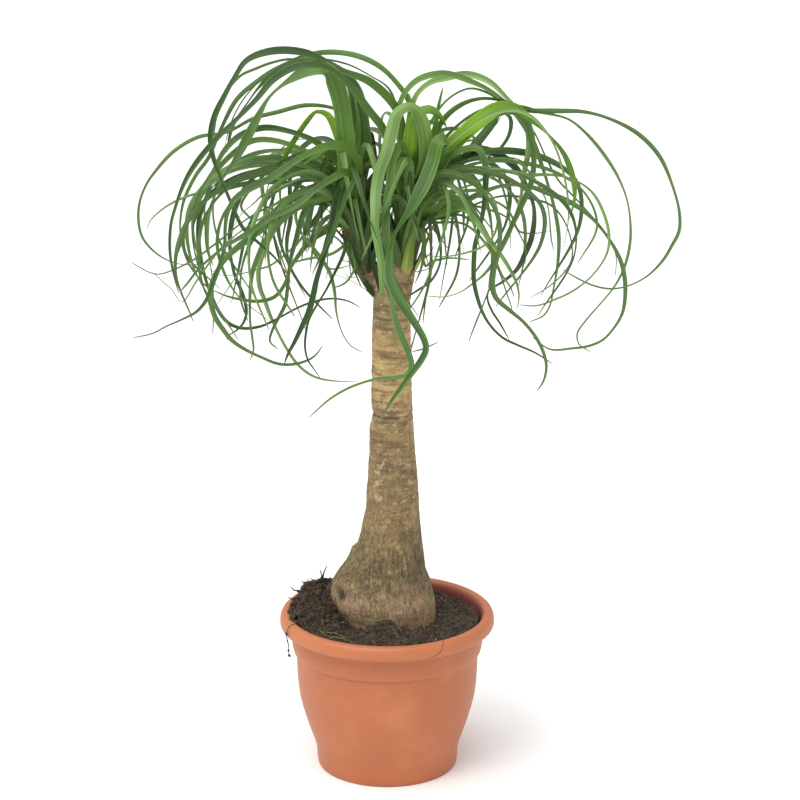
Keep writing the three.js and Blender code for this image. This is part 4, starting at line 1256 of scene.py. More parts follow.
    def add_bristle(self, bristles: MeshStock, spot: Vector, draws: random.Random) -> None:
        """Stand one short bent bristle on the heap.

        Args:
            bristles: Piece that takes the bristle.
            spot: Its foot.
            draws: Seeded draws.
        """
        lean = Vector((draws.uniform(-1, 1), draws.uniform(-1, 1), draws.uniform(0.1, 0.8))).normalized()
        reach = draws.uniform(3, 10)
        bend = Vector((draws.uniform(-1, 1), draws.uniform(-1, 1), 0)) * 0.2 * reach
        points = [spot - lean, spot + lean * 0.5 * reach + bend, spot + lean * reach]
        route, _ = smooth_route(points, 2.0)
        tube(bristles, route, (0.5, 0.35, 0.15), 5, draws.random() ** 2)


# Trunk


def noise_around(turn: Vector, scale: float, height: float) -> float:
    """Give noise on the skin of an upright round body.

    Args:
        turn: Level way out from the axis.
        scale: Features per unit of that way.
        height: Height, already scaled to features.

    Returns:
        A value of about -1 to 1.
    """
    return noise.noise(turn * scale + Vector((0, 0, height)))


@dataclass
class Trunk:
    """Swollen trunk with a burl on the left, ring lines above and fissured bark below, in mm."""

    voxel: float = 1.4
    sides: int = 64
    route_step: float = 4.0
    stub_sides: int = 40
    stub_step: float = 5.0
    stubs: tuple[tuple[Station, ...], ...] = (
        ((3, 0, 528, 14), (-1, 0, 545, 12), (-6, 0, 558, 10), (-18, 0, 572, 8.5), (-28, 0, 590, 10)),
        ((8, 0, 525, 15), (13, 0, 552, 15), (17, 0, 580, 14.5), (20, 0, 604, 13)),
    )
    scar: Place = (-54.0, -34.0, 212.0)
    burl_height: float = 224.0
    burl_bearing: float = 3.5
    calm_below: float = 188.0
    cork_top: float = 345.0
    ring_gap: float = 7.4
    ledge: Pair = (222.0, 257.0)
    deep_ring: float = 411.0
    second_ring: float = 452.0
    ring_lines: tuple[Pair, ...] = (
        (332, 0.5), (352, 0.45), (367, 0.6), (385, 0.5), (398, 0.6), (411, 1.3), (424, 0.5), (437, 0.7),
        (452, 1.2), (464, 0.6), (478, 0.8), (493, 0.6), (506, 0.8), (520, 0.6), (535, 0.7),
    )
    stations: tuple[Place, ...] = (
        (112, 0, 26), (128, 0, 38), (150, 0, 47), (168, 1, 53), (180, 0, 55), (189, -2.8, 57.4),
        (196, -4.8, 58.7), (204, -5.7, 57.9), (213, -5.0, 54.8), (222, -3.8, 50), (232, -1.8, 45),
        (242, 0.2, 41), (252, 1.8, 38.2), (275, 4.4, 33.4), (304, 6.1, 29.7), (334, 6.2, 27.7),
        (368, 5.8, 25.5), (397, 5.3, 24), (404, 6, 22.9), (411, 6.4, 22.2), (419, 5.6, 22.6), (448, 5.4, 22),
        (480, 5.2, 21.2), (505, 5.2, 20.8), (528, 5.3, 20.5), (545, 5.4, 20.2), (556, 5.6, 17),
    )

    def rings(self) -> list[list[Vector]]:
        """Give the rings of the main trunk.

        Returns:
            Rings of points from the buried foot to the fork.
        """
        middles = [Vector((shift, 0, height)) for height, shift, _ in self.stations]
        route, _ = smooth_route(middles, self.route_step)
        rings = []
        for point in route:
            radius = self.radius_at(point.z)
            ring = []
            for side in range(self.sides):
                angle = math.tau * side / self.sides
                flutes = 0.02 * radius * math.sin(5 * angle + point.z / 40) * bump(point.z, 205, 60)
                facing = bump(math.cos(angle - self.burl_bearing), 1, 0.25)
                burl = 3.5 * bump(point.z, self.burl_height, 14) * facing
                reach = radius + flutes + burl
                ring.append(Vector((point.x + reach * math.cos(angle), reach * math.sin(angle), point.z)))
            rings.append(ring)
        return rings

    def radius_at(self, height: float) -> float:
        """Read the radius off the stations.

        Args:
            height: Height in mm.

        Returns:
            Radius in mm.
        """
        for low, high in zip(self.stations[:-1], self.stations[1:], strict=True):
            if height <= high[0]:
                return within((low[2], high[2]), clamp((height - low[0]) / (high[0] - low[0])))
        return self.stations[-1][2]

    def ring_line(self, point: Vector) -> float:
        """Give the strength of the dark leaf-scar lines.

        Args:
            point: Point on the trunk in mm.

        Returns:
            The strength, 0 away from the lines.
        """
        turn = Vector((point.x, point.y, 0)).normalized()
        place = point.z + 2.2 * noise_around(turn, 1.6, 0.02 * point.z)
        broken = clamp(0.55 + 1.6 * noise_around(turn, 2.4, 0.11 * point.z))
        return broken * max(share * bump(place, height, 1.5) for height, share in self.ring_lines)

    def relief(self, point: Vector) -> float:
        """Give the relief of the bark.

        Args:
            point: Point on the smooth trunk in mm.

        Returns:
            Height of the bark in mm, negative in grooves.
        """
        angle = math.atan2(point.y, point.x - 3)
        turn = level_way(angle)
        low = clamp((self.cork_top - point.z) / 110)
        streaks = noise_around(turn, 19, point.z * 0.055)
        coarse = noise_around(turn, 9, point.z * 0.03)
        seam = noise_around(turn, 8, point.z * 0.03 + 31.0)
        calm = within((0.35, 1.0), clamp((point.z - self.calm_below) / 40))
        corky = (0.9 * streaks + 0.5 * coarse - 0.9 * bump(seam, 0.0, 0.16)) * low * calm
        ring_place = point.z / self.ring_gap + 0.9 * noise_around(turn, 0.8, point.z * 0.03)
        broken = clamp(0.9 + 1.6 * noise_around(turn, 2.2, point.z * 0.09))
        ring = -0.5 * max(0.0, math.sin(math.tau * ring_place) - 0.7) / 0.3 * (1 - 0.7 * low) * broken
        front = clamp(1.0 + 1.2 * noise_around(turn, 1.7, 7.0))
        deep_rings = bump(point.z, self.deep_ring, 1.8) + 0.8 * bump(point.z, self.second_ring, 1.4)
        strong = -1.1 * deep_rings * front
        notch = -2.6 * bump(point.z, self.deep_ring, 5.0) * bump(angle, -2.9, 0.25)
        behind = bump(abs(angle), math.pi, 0.5)
        low_end, high_end = self.ledge
        ledge = 3.8 * clamp((high_end - point.z) / 2.5) * clamp((point.z - low_end) / 30) * behind
        scar = -5.0 * bump((point - Vector(self.scar)).length, 0.0, 6.5)
        waves = 0.7 * fractal(point, 0.045, 3) + 0.25 * fractal(point, 0.22, 2)
        return corky + ring + strong + notch + ledge + scar + waves

    def build(self) -> None:
        """Make the trunk with its two stubs as one skin and carve the bark."""
        stock = MeshStock()
        stock.add(skin(self.rings()))
        for stub in self.stubs:
            stock.add(skin(limb(stub, self.stub_sides, self.stub_step)))
        finish = PalmBark().material()
        trunk = stock.piece("trunk_bark", finish, NO_CREASE)
        remesh = trunk.modifiers.new("one_skin", "REMESH")
        remesh.mode = "VOXEL"
        remesh.voxel_size = self.voxel * MM
        remesh.use_smooth_shade = True
        smooth = trunk.modifiers.new("soften", "SMOOTH")
        smooth.iterations = 2
        settle(trunk)
        trunk.data.materials.clear()
        trunk.data.materials.append(finish)
        self.carve(trunk.data)
        keep(trunk, Slot.BARK, "trunk")

    def carve(self, mesh: bpy.types.Mesh) -> None:
        """Move the skin to the relief of the bark and write the marks of grooves, lines and hollow.

        Args:
            mesh: The smooth skin.
        """
        marks = mesh.color_attributes.new(name="Marks", type="FLOAT_COLOR", domain="POINT")
        moved = []
        values = []
        for vertex in mesh.vertices:
            point = vertex.co / MM
            height = self.relief(point)
            moved.append(vertex.co + vertex.normal * height * MM)
            away = point - Vector(self.scar)
            away.z *= 0.6
            # Third mark: the hollow of the scar, for its painted shade.
            hollow = clamp(1.5 * bump(away.length, 0.0, 4.6))
            values.extend((clamp(0.5 + height / 4.0), self.ring_line(point), hollow, 1.0))
        for vertex, place in zip(mesh.vertices, moved, strict=True):
            vertex.co = place
        marks.data.foreach_set("color", values)
        mesh.update()


# Leaves

# Usual turn of a blade in degrees, the share of its width that the view shows, and its trim in mm
BLADE_TURN = 38
SEEN_WIDTH = 0.86
EDGE_TRIM = 1.5

# Seeds of the draws for the leaves, the same as in the solids where both have a leaf
LEAF_SEED = 20417
THIN_SEED_STEP = 977
ARCH_SEED = 7919
FILL_START = 401
FAN_START = 809

# Arching leaves are tried at several bearings in each of a number of sectors
ARCH_TRIES = 12
ARCH_COUNT = 16
ARCH_FLICK = (-0.55, 0.05)

# Degrees from one strap of the fan to the next
FAN_TURN = 137.5

# Sides of a core, and the longest distance between its rings in mm
CORE_SIDES = 28
CORE_STEP = 10 / 3

# Bends, as width over radius, from which a blade turns and which it may reach at most
EASY_BEND = 0.2
TIGHT_BEND = 0.5

# Routes as shares of the reach outward and of the rise or drop
FAN_SHAPE: tuple[Pair, ...] = (
    (0, 0), (0.12, 0.3), (0.36, 0.68), (0.68, 0.96), (1, 1), (1.32, 0.84), (1.62, 0.45), (1.85, -0.1)
)
CURL_SHAPE: tuple[Pair, ...] = (
    (0, 0), (0.1, 0.6), (0.34, 1), (0.66, 0.93), (0.95, 0.5), (1.08, -0.05), (1.06, -0.6), (0.94, -1.0)
)
ARCH_SHAPE: tuple[Pair, ...] = (
    (0, 0), (0.1, 0.6), (0.34, 1), (0.66, 0.93), (0.9, 0.5), (1, -0.1), (0.95, -0.75)
)
BASE_SHAPE: tuple[Pair, ...] = ((0, 0), (0.10, 0.28), (0.38, 0.62), (1, 1))
FIBRE_SHAPE: tuple[Pair, ...] = ((0, 0), (0.3, 0.1), (0.65, 0.4), (0.8, 0.9))


class Draws:
    """Row of repeatable draws between 0 and 1, the same as in the solids."""

    step = 16807
    limit = 2147483647

    def __init__(self, seed: int) -> None:
        """Start the row.

        Args:
            seed: Where it starts.
        """
        self.state = seed

    def __call__(self) -> float:
        """Give the next draw."""
        self.state = self.state * self.step % self.limit
        return self.state / self.limit

    def turns(self) -> list[float]:
        """Draw the turn of a blade from its root to its tip.

        Returns:
            Three angles in degrees.
        """
        lean = -1 if self() < 0.5 else 1
        return [lean * BLADE_TURN * within((0.4, 1.2), self()) for _ in range(3)]


@dataclass(frozen=True)
class Leaf:
    """Leaf read off the view: widest place, root as a share of the core, and its route.

    The trace lists places across and up in mm from the head outward, depth runs from the
    head to the tip (towards the viewer is negative), and swing moves the leaf in depth.
    """

    wide: float
    root: float
    swing: float
    depth: tuple[float, ...]
    trace: tuple[Pair, ...]
    turns: tuple[float, ...] | None = None
    tone: float | None = None


@dataclass(frozen=True)
class ArchRanges:
    """Ranges that the sizes of arching leaves are drawn from, in mm and degrees."""

    roots: Pair = (0.15, 0.95)
    reach: Pair = (110, 220)
    rise: Pair = (60, 105)
    drop: Pair = (60, 150)
    wide: Pair = (8, 14)
    sway: Pair = (-24, 24)
    flick: Pair = (0, 0)


@dataclass(frozen=True)
class RootLine:
    """Line inside a core that leaves grow from, and how far out they leave it, in mm."""

    low: Place
    high: Place
    exit: float

    def at(self, share: float) -> Vector:
        """Give the point at a share of the line."""
        return Vector(self.low).lerp(Vector(self.high), share)


# Young and grown leaves, traced one by one, in the order in which they take the shared draws
LEFT_YOUNG = (
    Leaf(9, 0.6, 0, (0, -10, -14, -16), (
        (-45, 690), (-53, 722), (-63, 741), (-74, 744), (-84, 734), (-97, 715), (-107, 698),
        (-112, 680), (-114, 660), (-113, 638),
    ), None, 0.85),
    Leaf(9, 0.8, 0, (0, 4, 6), (
        (-38, 690), (-41, 720), (-43, 746), (-48, 768),
    ), None, 0.65),
    Leaf(8, 0.7, 0, (0, -18, -30), (
        (-40, 684), (-46, 704), (-58, 708), (-72, 699), (-88, 688),
    ), None, 0.95),
    Leaf(8, 0.5, 0, (0, 14, 24), (
        (-34, 684), (-31, 712), (-30, 736), (-33, 757),
    ), None, 0.80),
)

RIGHT_YOUNG = (
    Leaf(19, 0.6, 0, (0, -8, -12, -14, -14), (
        (45, 679), (60, 698), (77, 715), (97, 733), (119, 748), (138, 747), (156, 732), (172, 719),
        (189, 698), (199, 672), (201, 650), (196, 628),
    ), (-10, 0, 15, 50, 62, 60, 50), 0.72),
    Leaf(10, 0.8, 0, (0, 4, 8), (
        (42, 694), (51, 722), (55, 748), (60, 771),
    ), None, 0.92),
    Leaf(9, 0.7, 0, (0, -4, -4), (
        (29, 700), (27, 722), (27, 744), (24, 764),
    ), None, 0.70),
    Leaf(17, 0.5, -7, (0, -10, -8, 6), (
        (25, 680), (25, 704), (27, 728), (34, 743), (45, 747), (56, 740), (64, 727),
    ), (0, 0, 10, 30), 0.80),
)

RIGHT_LEAVES = (
    # Arches that pass over to the left side
    Leaf(10, 0.95, 0, (0, -30, -56, -68, -72), (
        (20, 712), (10, 748), (-16, 775), (-47, 788), (-82, 806), (-119, 809), (-147, 799),
        (-160, 781), (-172, 760), (-182, 740), (-187, 718), (-185, 697), (-177, 674), (-166, 645),
        (-154, 618), (-139, 603), (-120, 585), (-104, 562),
    )),
    Leaf(7, 0.9, 0, (0, 44, 58, 56, 50), (
        (26, 712), (25, 752), (10, 776), (-11, 795), (-40, 806), (-76, 806), (-114, 791),
        (-136, 777), (-158, 758), (-176, 725), (-190, 694), (-202, 678), (-210, 664), (-217, 648),
        (-221, 628), (-221, 606), (-215, 583), (-206, 567), (-194, 553), (-174, 543),
    )),
    Leaf(4, 0.7, 0, (0, 64, 80, 84), (
        (15, 705), (5, 765), (-18, 783), (-45, 796), (-78, 800), (-122, 785), (-148, 762),
        (-164, 735), (-172, 708),
    )),
    Leaf(9, 0.6, -7, (0, -44, -70, -84, -88), (
        (10, 692), (-3, 725), (-18, 745), (-38, 771), (-62, 791), (-92, 793), (-119, 779),
        (-138, 757), (-161, 734), (-180, 716), (-200, 693), (-212, 675), (-220, 658), (-226, 641),
        (-231, 624), (-233, 606), (-233, 588), (-230, 568), (-225, 546),
    )),
    # Folded straps that hang in front of the trunk
    Leaf(15, 0.75, -22, (0, -6, -60, -78, -82), (
        (40, 688), (41, 718), (34, 741), (24, 749), (12, 742), (5, 720), (-1, 698), (-7, 682),
        (-11, 660), (-12, 638), (-12, 618), (-9, 600), (-6, 580), (-5, 562), (-6, 546), (-12, 540),
        (-24, 551), (-43, 562), (-62, 568),
    ), (60, 30, 5, 0, 10, 45, 74, 80), 0.75),
    Leaf(10, 0.5, -14, (0, -62, -96, -104, -104), (
        (20, 690), (15, 708), (7, 694), (3, 665), (0, 640), (-1, 610), (0, 584), (1, 560), (5, 538),
        (12, 509), (18, 493), (24, 478), (27, 465), (23, 455), (10, 451), (-8, 450), (-24, 446),
        (-42, 439), (-62, 427), (-85, 406),
    ), (30, 10, 20, 30, 20, 20, 30, 30), 0.55),
    Leaf(17, 0.65, -31, (0, 0, -66, -112, -122, -124), (
        (44, 672), (54, 700), (61, 714), (55, 711), (50, 693), (43, 673), (34, 653), (24, 634),
        (12, 616), (5, 598), (3, 580), (4, 562), (11, 544), (22, 526), (33, 509), (41, 494),
        (43, 483), (37, 470), (28, 457), (18, 443), (5, 424), (-10, 397),
    ), (40, 0, 20, 58, 58, 30, 20, 20, 30), 0.30),
    # Arches to the right, the longest ones first
    Leaf(7, 0.6, 0, (0, -14, -20, -6, 10), (
        (42, 690), (60, 735), (80, 752), (100, 758), (122, 756), (149, 746), (180, 745), (209, 744),
        (238, 736), (268, 720), (291, 696), (306, 663), (314, 634), (314, 614), (307, 599),
        (298, 583), (281, 565), (260, 554), (242, 551), (222, 555), (200, 566), (190, 572),
    )),
    Leaf(6, 0.55, 0, (0, 10, 20, 26, 26), (
        (45, 690), (70, 724), (100, 745), (135, 750), (166, 743), (193, 736), (211, 722), (231, 699),
        (248, 672), (258, 646), (262, 617), (261, 595), (255, 571), (245, 552), (231, 534),
        (217, 517), (207, 501), (209, 489), (222, 480),
    )),
    Leaf(9, 0.85, 55, (0, -12, -44, -52, -44), (
        (25, 700), (25, 738), (32, 762), (46, 775), (62, 780), (86, 784), (109, 776), (126, 760),
        (142, 742), (151, 718), (150, 695), (146, 675), (144, 655), (139, 635), (133, 615),
        (126, 600), (117, 583), (105, 567), (93, 557), (79, 547), (62, 542), (43, 543),
    )),
    Leaf(8, 0.9, -7, (0, 14, 30, 40, 40), (
        (20, 705), (13, 748), (30, 776), (60, 785), (88, 777), (112, 765), (135, 744), (154, 716),
        (165, 688), (174, 660), (181, 634), (185, 610), (185, 588), (183, 568), (180, 550),
        (177, 533), (170, 521), (155, 514),
    )),
    Leaf(4, 0.8, 0, (0, 44, 60, 62), (
        (32, 690), (50, 738), (67, 759), (88, 769), (108, 764), (128, 751), (144, 737), (157, 722),
        (169, 697), (183, 671), (197, 656), (213, 639), (228, 622), (240, 603), (247, 588),
        (247, 566),
    )),
    Leaf(5, 0.5, 0, (0, -26, -36, -30), (
        (52, 690), (80, 720), (110, 741), (135, 746), (154, 739), (170, 722), (180, 705), (187, 685),
        (192, 664), (195, 640), (194, 618), (190, 597),
    )),
    Leaf(10, 0.5, 0, (0, 30, 44, 40, 30), (
        (58, 690), (84, 704), (106, 703), (124, 695), (139, 682), (150, 662), (157, 643), (158, 625),
        (155, 605), (150, 592), (140, 572), (124, 558), (110, 549), (109, 539), (114, 526),
        (123, 512), (133, 494),
    )),
    Leaf(6, 0.35, 0, (0, -20, -34, -36), (
        (62, 656), (88, 664), (107, 673), (128, 680), (150, 676), (175, 676), (199, 671), (219, 658),
        (232, 636), (239, 610), (237, 590), (222, 566), (202, 549), (182, 539), (162, 532),
        (144, 533),
    )),
    Leaf(8, 0.3, -14, (0, 24, 30, 26), (
        (60, 638), (81, 646), (101, 656), (124, 664), (149, 664), (173, 656), (197, 646), (221, 628),
        (244, 598), (255, 573), (258, 546), (255, 523), (247, 508), (235, 494), (220, 487),
        (200, 484), (178, 483), (158, 497),
    )),
    Leaf(4, 0.2, 7, (0, 60, 70), (
        (62, 630), (90, 642), (124, 653), (155, 650), (176, 643), (191, 625), (199, 601), (199, 582),
        (189, 566), (172, 551), (155, 541),
    )),
    # Leaves that hang on the right of the trunk
    Leaf(8, 0.45, 0, (0, -36, -54, -56), (
        (60, 690), (83, 704), (98, 704), (105, 690), (106, 672), (105, 652), (103, 634), (99, 616),
        (95, 599), (94, 582), (94, 562), (97, 545), (104, 524), (113, 509), (126, 496), (142, 488),
        (162, 479), (180, 467),
    )),
    Leaf(9, 0.25, -7, (0, 14, 14, 4), (
        (52, 640), (70, 646), (85, 640), (99, 624), (108, 608), (115, 590), (115, 572), (114, 556),
        (118, 541), (134, 526), (148, 514), (161, 498), (170, 481), (174, 464), (171, 447),
        (164, 436),
    )),
    Leaf(8, 0.2, 0, (0, -60, -84, -86), (
        (54, 632), (70, 638), (84, 638), (97, 624), (108, 608), (121, 591), (132, 574), (141, 555),
        (143, 540), (141, 528),
    )),
    Leaf(8, 0.1, 0, (0, -20, -34, -40), (
        (40, 634), (48, 630), (55, 613), (58, 596), (57, 578), (48, 560), (33, 549), (21, 541),
    )),
    Leaf(5, 0.3, -14, (0, -60, -62, -50), (
        (60, 652), (88, 659), (109, 656), (118, 640), (119, 624), (114, 608), (102, 597), (86, 591),
        (66, 587), (46, 587),
    )),
    Leaf(4, 0.15, -7, (0, 34, 44), (
        (60, 632), (90, 642), (116, 636), (132, 627), (143, 611), (150, 594), (149, 578),
    )),
    Leaf(3, 0.1, 0, (0, 20, 26), (
        (50, 630), (66, 630), (74, 620), (80, 606), (83, 591),
    )),
    Leaf(7, 0.05, 0, (0, -14, -20, -20), (
        (36, 626), (40, 606), (40, 588), (36, 570), (30, 556),
    )),
)

LEFT_LEAVES = (
    # Upright straps that arch over at the top
    Leaf(19, 0.8, -42, (0, 10, 14, 4, -10), (
        (-43, 700), (-45, 729), (-52, 768), (-63, 789), (-78, 790), (-98, 780), (-122, 761),
        (-138, 734), (-152, 708), (-160, 693), (-171, 677), (-178, 666), (-185, 649), (-191, 631),
        (-193, 612), (-192, 592), (-187, 576),
    ), (12, 0, 30, 62, 66, 60, 55, 50), 0.45),
    Leaf(19, 0.95, 14, (0, 16, 30, 34), (
        (-26, 700), (-28, 739), (-36, 772), (-52, 790), (-76, 798), (-104, 793), (-128, 777),
        (-148, 752), (-164, 726), (-170, 700),
    ), (-12, 0, 35, 62, 60, 50), 0.12),
    Leaf(6, 0.9, 42, (0, -14, -26, -34), (
        (-46, 705), (-52, 760), (-72, 792), (-100, 800), (-122, 796), (-138, 790), (-155, 782),
        (-172, 760), (-180, 738), (-184, 712),
    )),
    # Long loop that reaches farthest left
    Leaf(6, 0.85, 55, (0, -20, -24, -10, 6), (
        (-22, 700), (-35, 736), (-57, 748), (-86, 751), (-115, 744), (-141, 737), (-170, 722),
        (-200, 717), (-226, 702), (-245, 682), (-258, 663), (-265, 643), (-266, 624), (-263, 609),
        (-255, 597), (-242, 586), (-226, 579), (-204, 578), (-184, 585),
    )),
    # Mid-height arches to the left
    Leaf(9, 0.6, 7, (0, -26, -44, -40), (
        (-50, 685), (-60, 699), (-76, 712), (-100, 722), (-130, 727), (-155, 719), (-172, 703),
        (-185, 680), (-198, 660), (-204, 645), (-211, 630), (-218, 611), (-224, 593), (-230, 580),
    )),
    Leaf(7, 0.5, 7, (0, 24, 46, 60, 70), (
        (-62, 688), (-89, 703), (-118, 713), (-142, 713), (-165, 698), (-184, 676), (-192, 653),
        (-199, 636), (-202, 619), (-202, 600), (-200, 584), (-196, 564), (-190, 545), (-182, 526),
        (-172, 513), (-158, 507), (-137, 509), (-118, 518), (-98, 529), (-78, 537), (-58, 540),
        (-41, 537), (-29, 530),
    )),
    Leaf(9, 0.55, -55, (0, -36, -60, -64), (
        (-30, 690), (-47, 707), (-68, 706), (-90, 695), (-106, 685), (-125, 672), (-148, 660),
        (-162, 650), (-170, 636), (-173, 619), (-174, 599), (-179, 579), (-186, 561), (-193, 542),
        (-205, 526), (-223, 516), (-239, 509), (-254, 501), (-276, 496),
    ), None, 0.25),
    Leaf(3, 0.7, 22, (0, -8, -10), (
        (-52, 690), (-76, 712), (-97, 714), (-111, 705), (-121, 680), (-129, 655), (-132, 634),
        (-131, 614),
    )),
    # Long diagonal straps down to the left
    Leaf(9, 0.35, -55, (0, -40, -70, -78), (
        (-30, 668), (-44, 679), (-58, 672), (-75, 661), (-91, 647), (-109, 637), (-127, 629),
        (-142, 617), (-160, 606), (-176, 596), (-193, 582), (-205, 570), (-216, 556), (-224, 547),
    ), None, 0.30),
    Leaf(9, 0.3, 7, (0, 26, 40, 48), (
        (-50, 643), (-72, 648), (-96, 641), (-118, 627), (-138, 614), (-155, 601), (-169, 589),
        (-180, 575), (-188, 560), (-191, 541), (-190, 533), (-186, 519), (-178, 506), (-168, 493),
        (-154, 483), (-136, 474), (-119, 467), (-104, 466), (-88, 470), (-78, 476), (-70, 487),
    )),
    Leaf(8, 0.4, 0, (0, -24, -44, -50), (
        (-52, 650), (-72, 649), (-92, 641), (-108, 630), (-121, 617), (-131, 603), (-138, 588),
        (-144, 572), (-147, 554), (-148, 534), (-148, 514), (-146, 496), (-145, 482), (-149, 471),
    )),
    # Foreground strap that folds over and hangs towards the viewer
    Leaf(12, 0.45, 14, (0, -60, -96, -112, -118), (
        (-30, 665), (-40, 670), (-49, 660), (-54, 640), (-58, 618), (-65, 599), (-70, 581),
        (-76, 561), (-80, 542), (-85, 524), (-92, 509), (-100, 492), (-108, 477), (-112, 466),
    )),
    # Hanging leaves between the trunk and the left side
    Leaf(8, 0.25, 14, (0, -34, -60, -66), (
        (-56, 647), (-77, 649), (-87, 638), (-92, 625), (-97, 606), (-102, 589), (-105, 572),
        (-107, 552), (-110, 533), (-117, 519), (-124, 505), (-127, 492), (-118, 483),
    )),
    Leaf(7, 0.2, 0, (0, 22, 24, 10, -8), (
        (-55, 652), (-80, 656), (-96, 642), (-95, 620), (-84, 603), (-72, 587), (-61, 568),
        (-56, 546), (-55, 529), (-52, 513), (-47, 499), (-39, 487), (-27, 480),
    )),
    Leaf(8, 0.1, 14, (0, 12, 24, 30), (
        (-50, 622), (-67, 614), (-82, 604), (-94, 589), (-104, 573), (-110, 556), (-121, 542),
        (-138, 537), (-158, 539), (-174, 543), (-187, 549),
    )),
    Leaf(8, 0.65, 7, (0, 36, 64, 78), (
        (-50, 668), (-85, 690), (-120, 688), (-148, 666), (-162, 640), (-168, 612), (-168, 590),
        (-164, 567), (-159, 554), (-154, 539), (-152, 524), (-156, 512), (-165, 503), (-176, 497),
    )),
    Leaf(4, 0.5, 0, (0, 8, 12), (
        (-62, 655), (-96, 656), (-122, 642), (-138, 622), (-149, 602), (-152, 586), (-158, 571),
        (-169, 555), (-183, 534),
    )),
    Leaf(4, 0.3, 0, (0, 50, 66, 60), (
        (-60, 630), (-84, 612), (-108, 590), (-125, 577), (-140, 572), (-160, 567), (-178, 566),
        (-193, 573),
    )),
    Leaf(7, 0.15, 22, (0, 40, 60, 40), (
        (-52, 642), (-86, 644), (-114, 624), (-130, 596), (-138, 572), (-137, 552), (-132, 538),
        (-127, 523), (-119, 504), (-109, 484), (-98, 467), (-86, 456), (-73, 450), (-52, 447),
        (-31, 447),
    )),
    Leaf(8, 0.75, 31, (0, 24, 30, 26), (
        (-52, 692), (-80, 701), (-99, 688), (-103, 668), (-103, 648), (-103, 628), (-107, 606),
        (-107, 590), (-104, 574), (-96, 558), (-87, 541),
    )),
    Leaf(5, 0.55, -14, (0, 70, 90), (
        (-62, 680), (-100, 674), (-124, 661), (-129, 646), (-131, 630), (-132, 612), (-137, 594),
        (-141, 578),
    )),
    Leaf(5, 0.05, 0, (0, -28, -40, -36), (
        (-42, 606), (-47, 588), (-56, 569), (-66, 549), (-77, 531), (-85, 515), (-88, 500),
        (-89, 486), (-86, 471), (-79, 460), (-73, 451),
    )),
    Leaf(6, 0.1, 0, (0, -10, -14), (
        (-42, 602), (-58, 590), (-74, 586), (-90, 583), (-108, 577),
    )),
    Leaf(6, 0.02, 0, (0, -10, -16), (
        (-38, 612), (-41, 598), (-38, 580), (-32, 564), (-27, 552),
    )),
)

# Leaves that show only in part, each led back to its head
LEFT_THIN = (
    Leaf(4, 0.6, 0, (0, -20, -30), (
        (-55, 668), (-90, 684), (-130, 690), (-170, 678), (-201, 657), (-213, 653), (-227, 647),
        (-237, 641), (-246, 634), (-253, 627), (-257, 618),
    )),
    Leaf(3, 0.3, 0, (0, 30, 44), (
        (-52, 640), (-90, 652), (-140, 634), (-180, 604), (-205, 585), (-225, 574), (-246, 567),
        (-256, 569), (-265, 574), (-275, 580),
    )),
    Leaf(3, 0.35, 0, (0, 44, 60), (
        (-52, 646), (-90, 650), (-136, 628), (-176, 598), (-205, 560), (-222, 536), (-233, 551),
        (-240, 557), (-248, 565), (-253, 569),
    )),
    Leaf(4, 0.7, 0, (0, -30, -46), (
        (-54, 690), (-90, 700), (-130, 676), (-156, 642), (-148, 631), (-140, 620), (-136, 610),
        (-130, 602),
    )),
    Leaf(3.5, 0.5, 0, (0, -50, -60), (
        (-56, 668), (-90, 672), (-125, 656), (-134, 653), (-140, 647), (-147, 641), (-156, 633),
        (-164, 620),
    )),
    Leaf(4, 0.1, 0, (0, -20, -30), (
        (-40, 606), (-37, 590), (-34, 576), (-38, 566), (-44, 558), (-51, 554), (-58, 552),
    )),
    Leaf(4, 0.2, 0, (0, 10, 20), (
        (-48, 626), (-66, 620), (-80, 600), (-74, 584), (-60, 573), (-39, 577),
    )),
    Leaf(4, 0.55, 0, (0, 50, 60), (
        (-60, 672), (-110, 690), (-156, 686), (-184, 665), (-192, 650), (-195, 640), (-193, 600),
        (-188, 560), (-188, 519), (-189, 500),
    )),
)

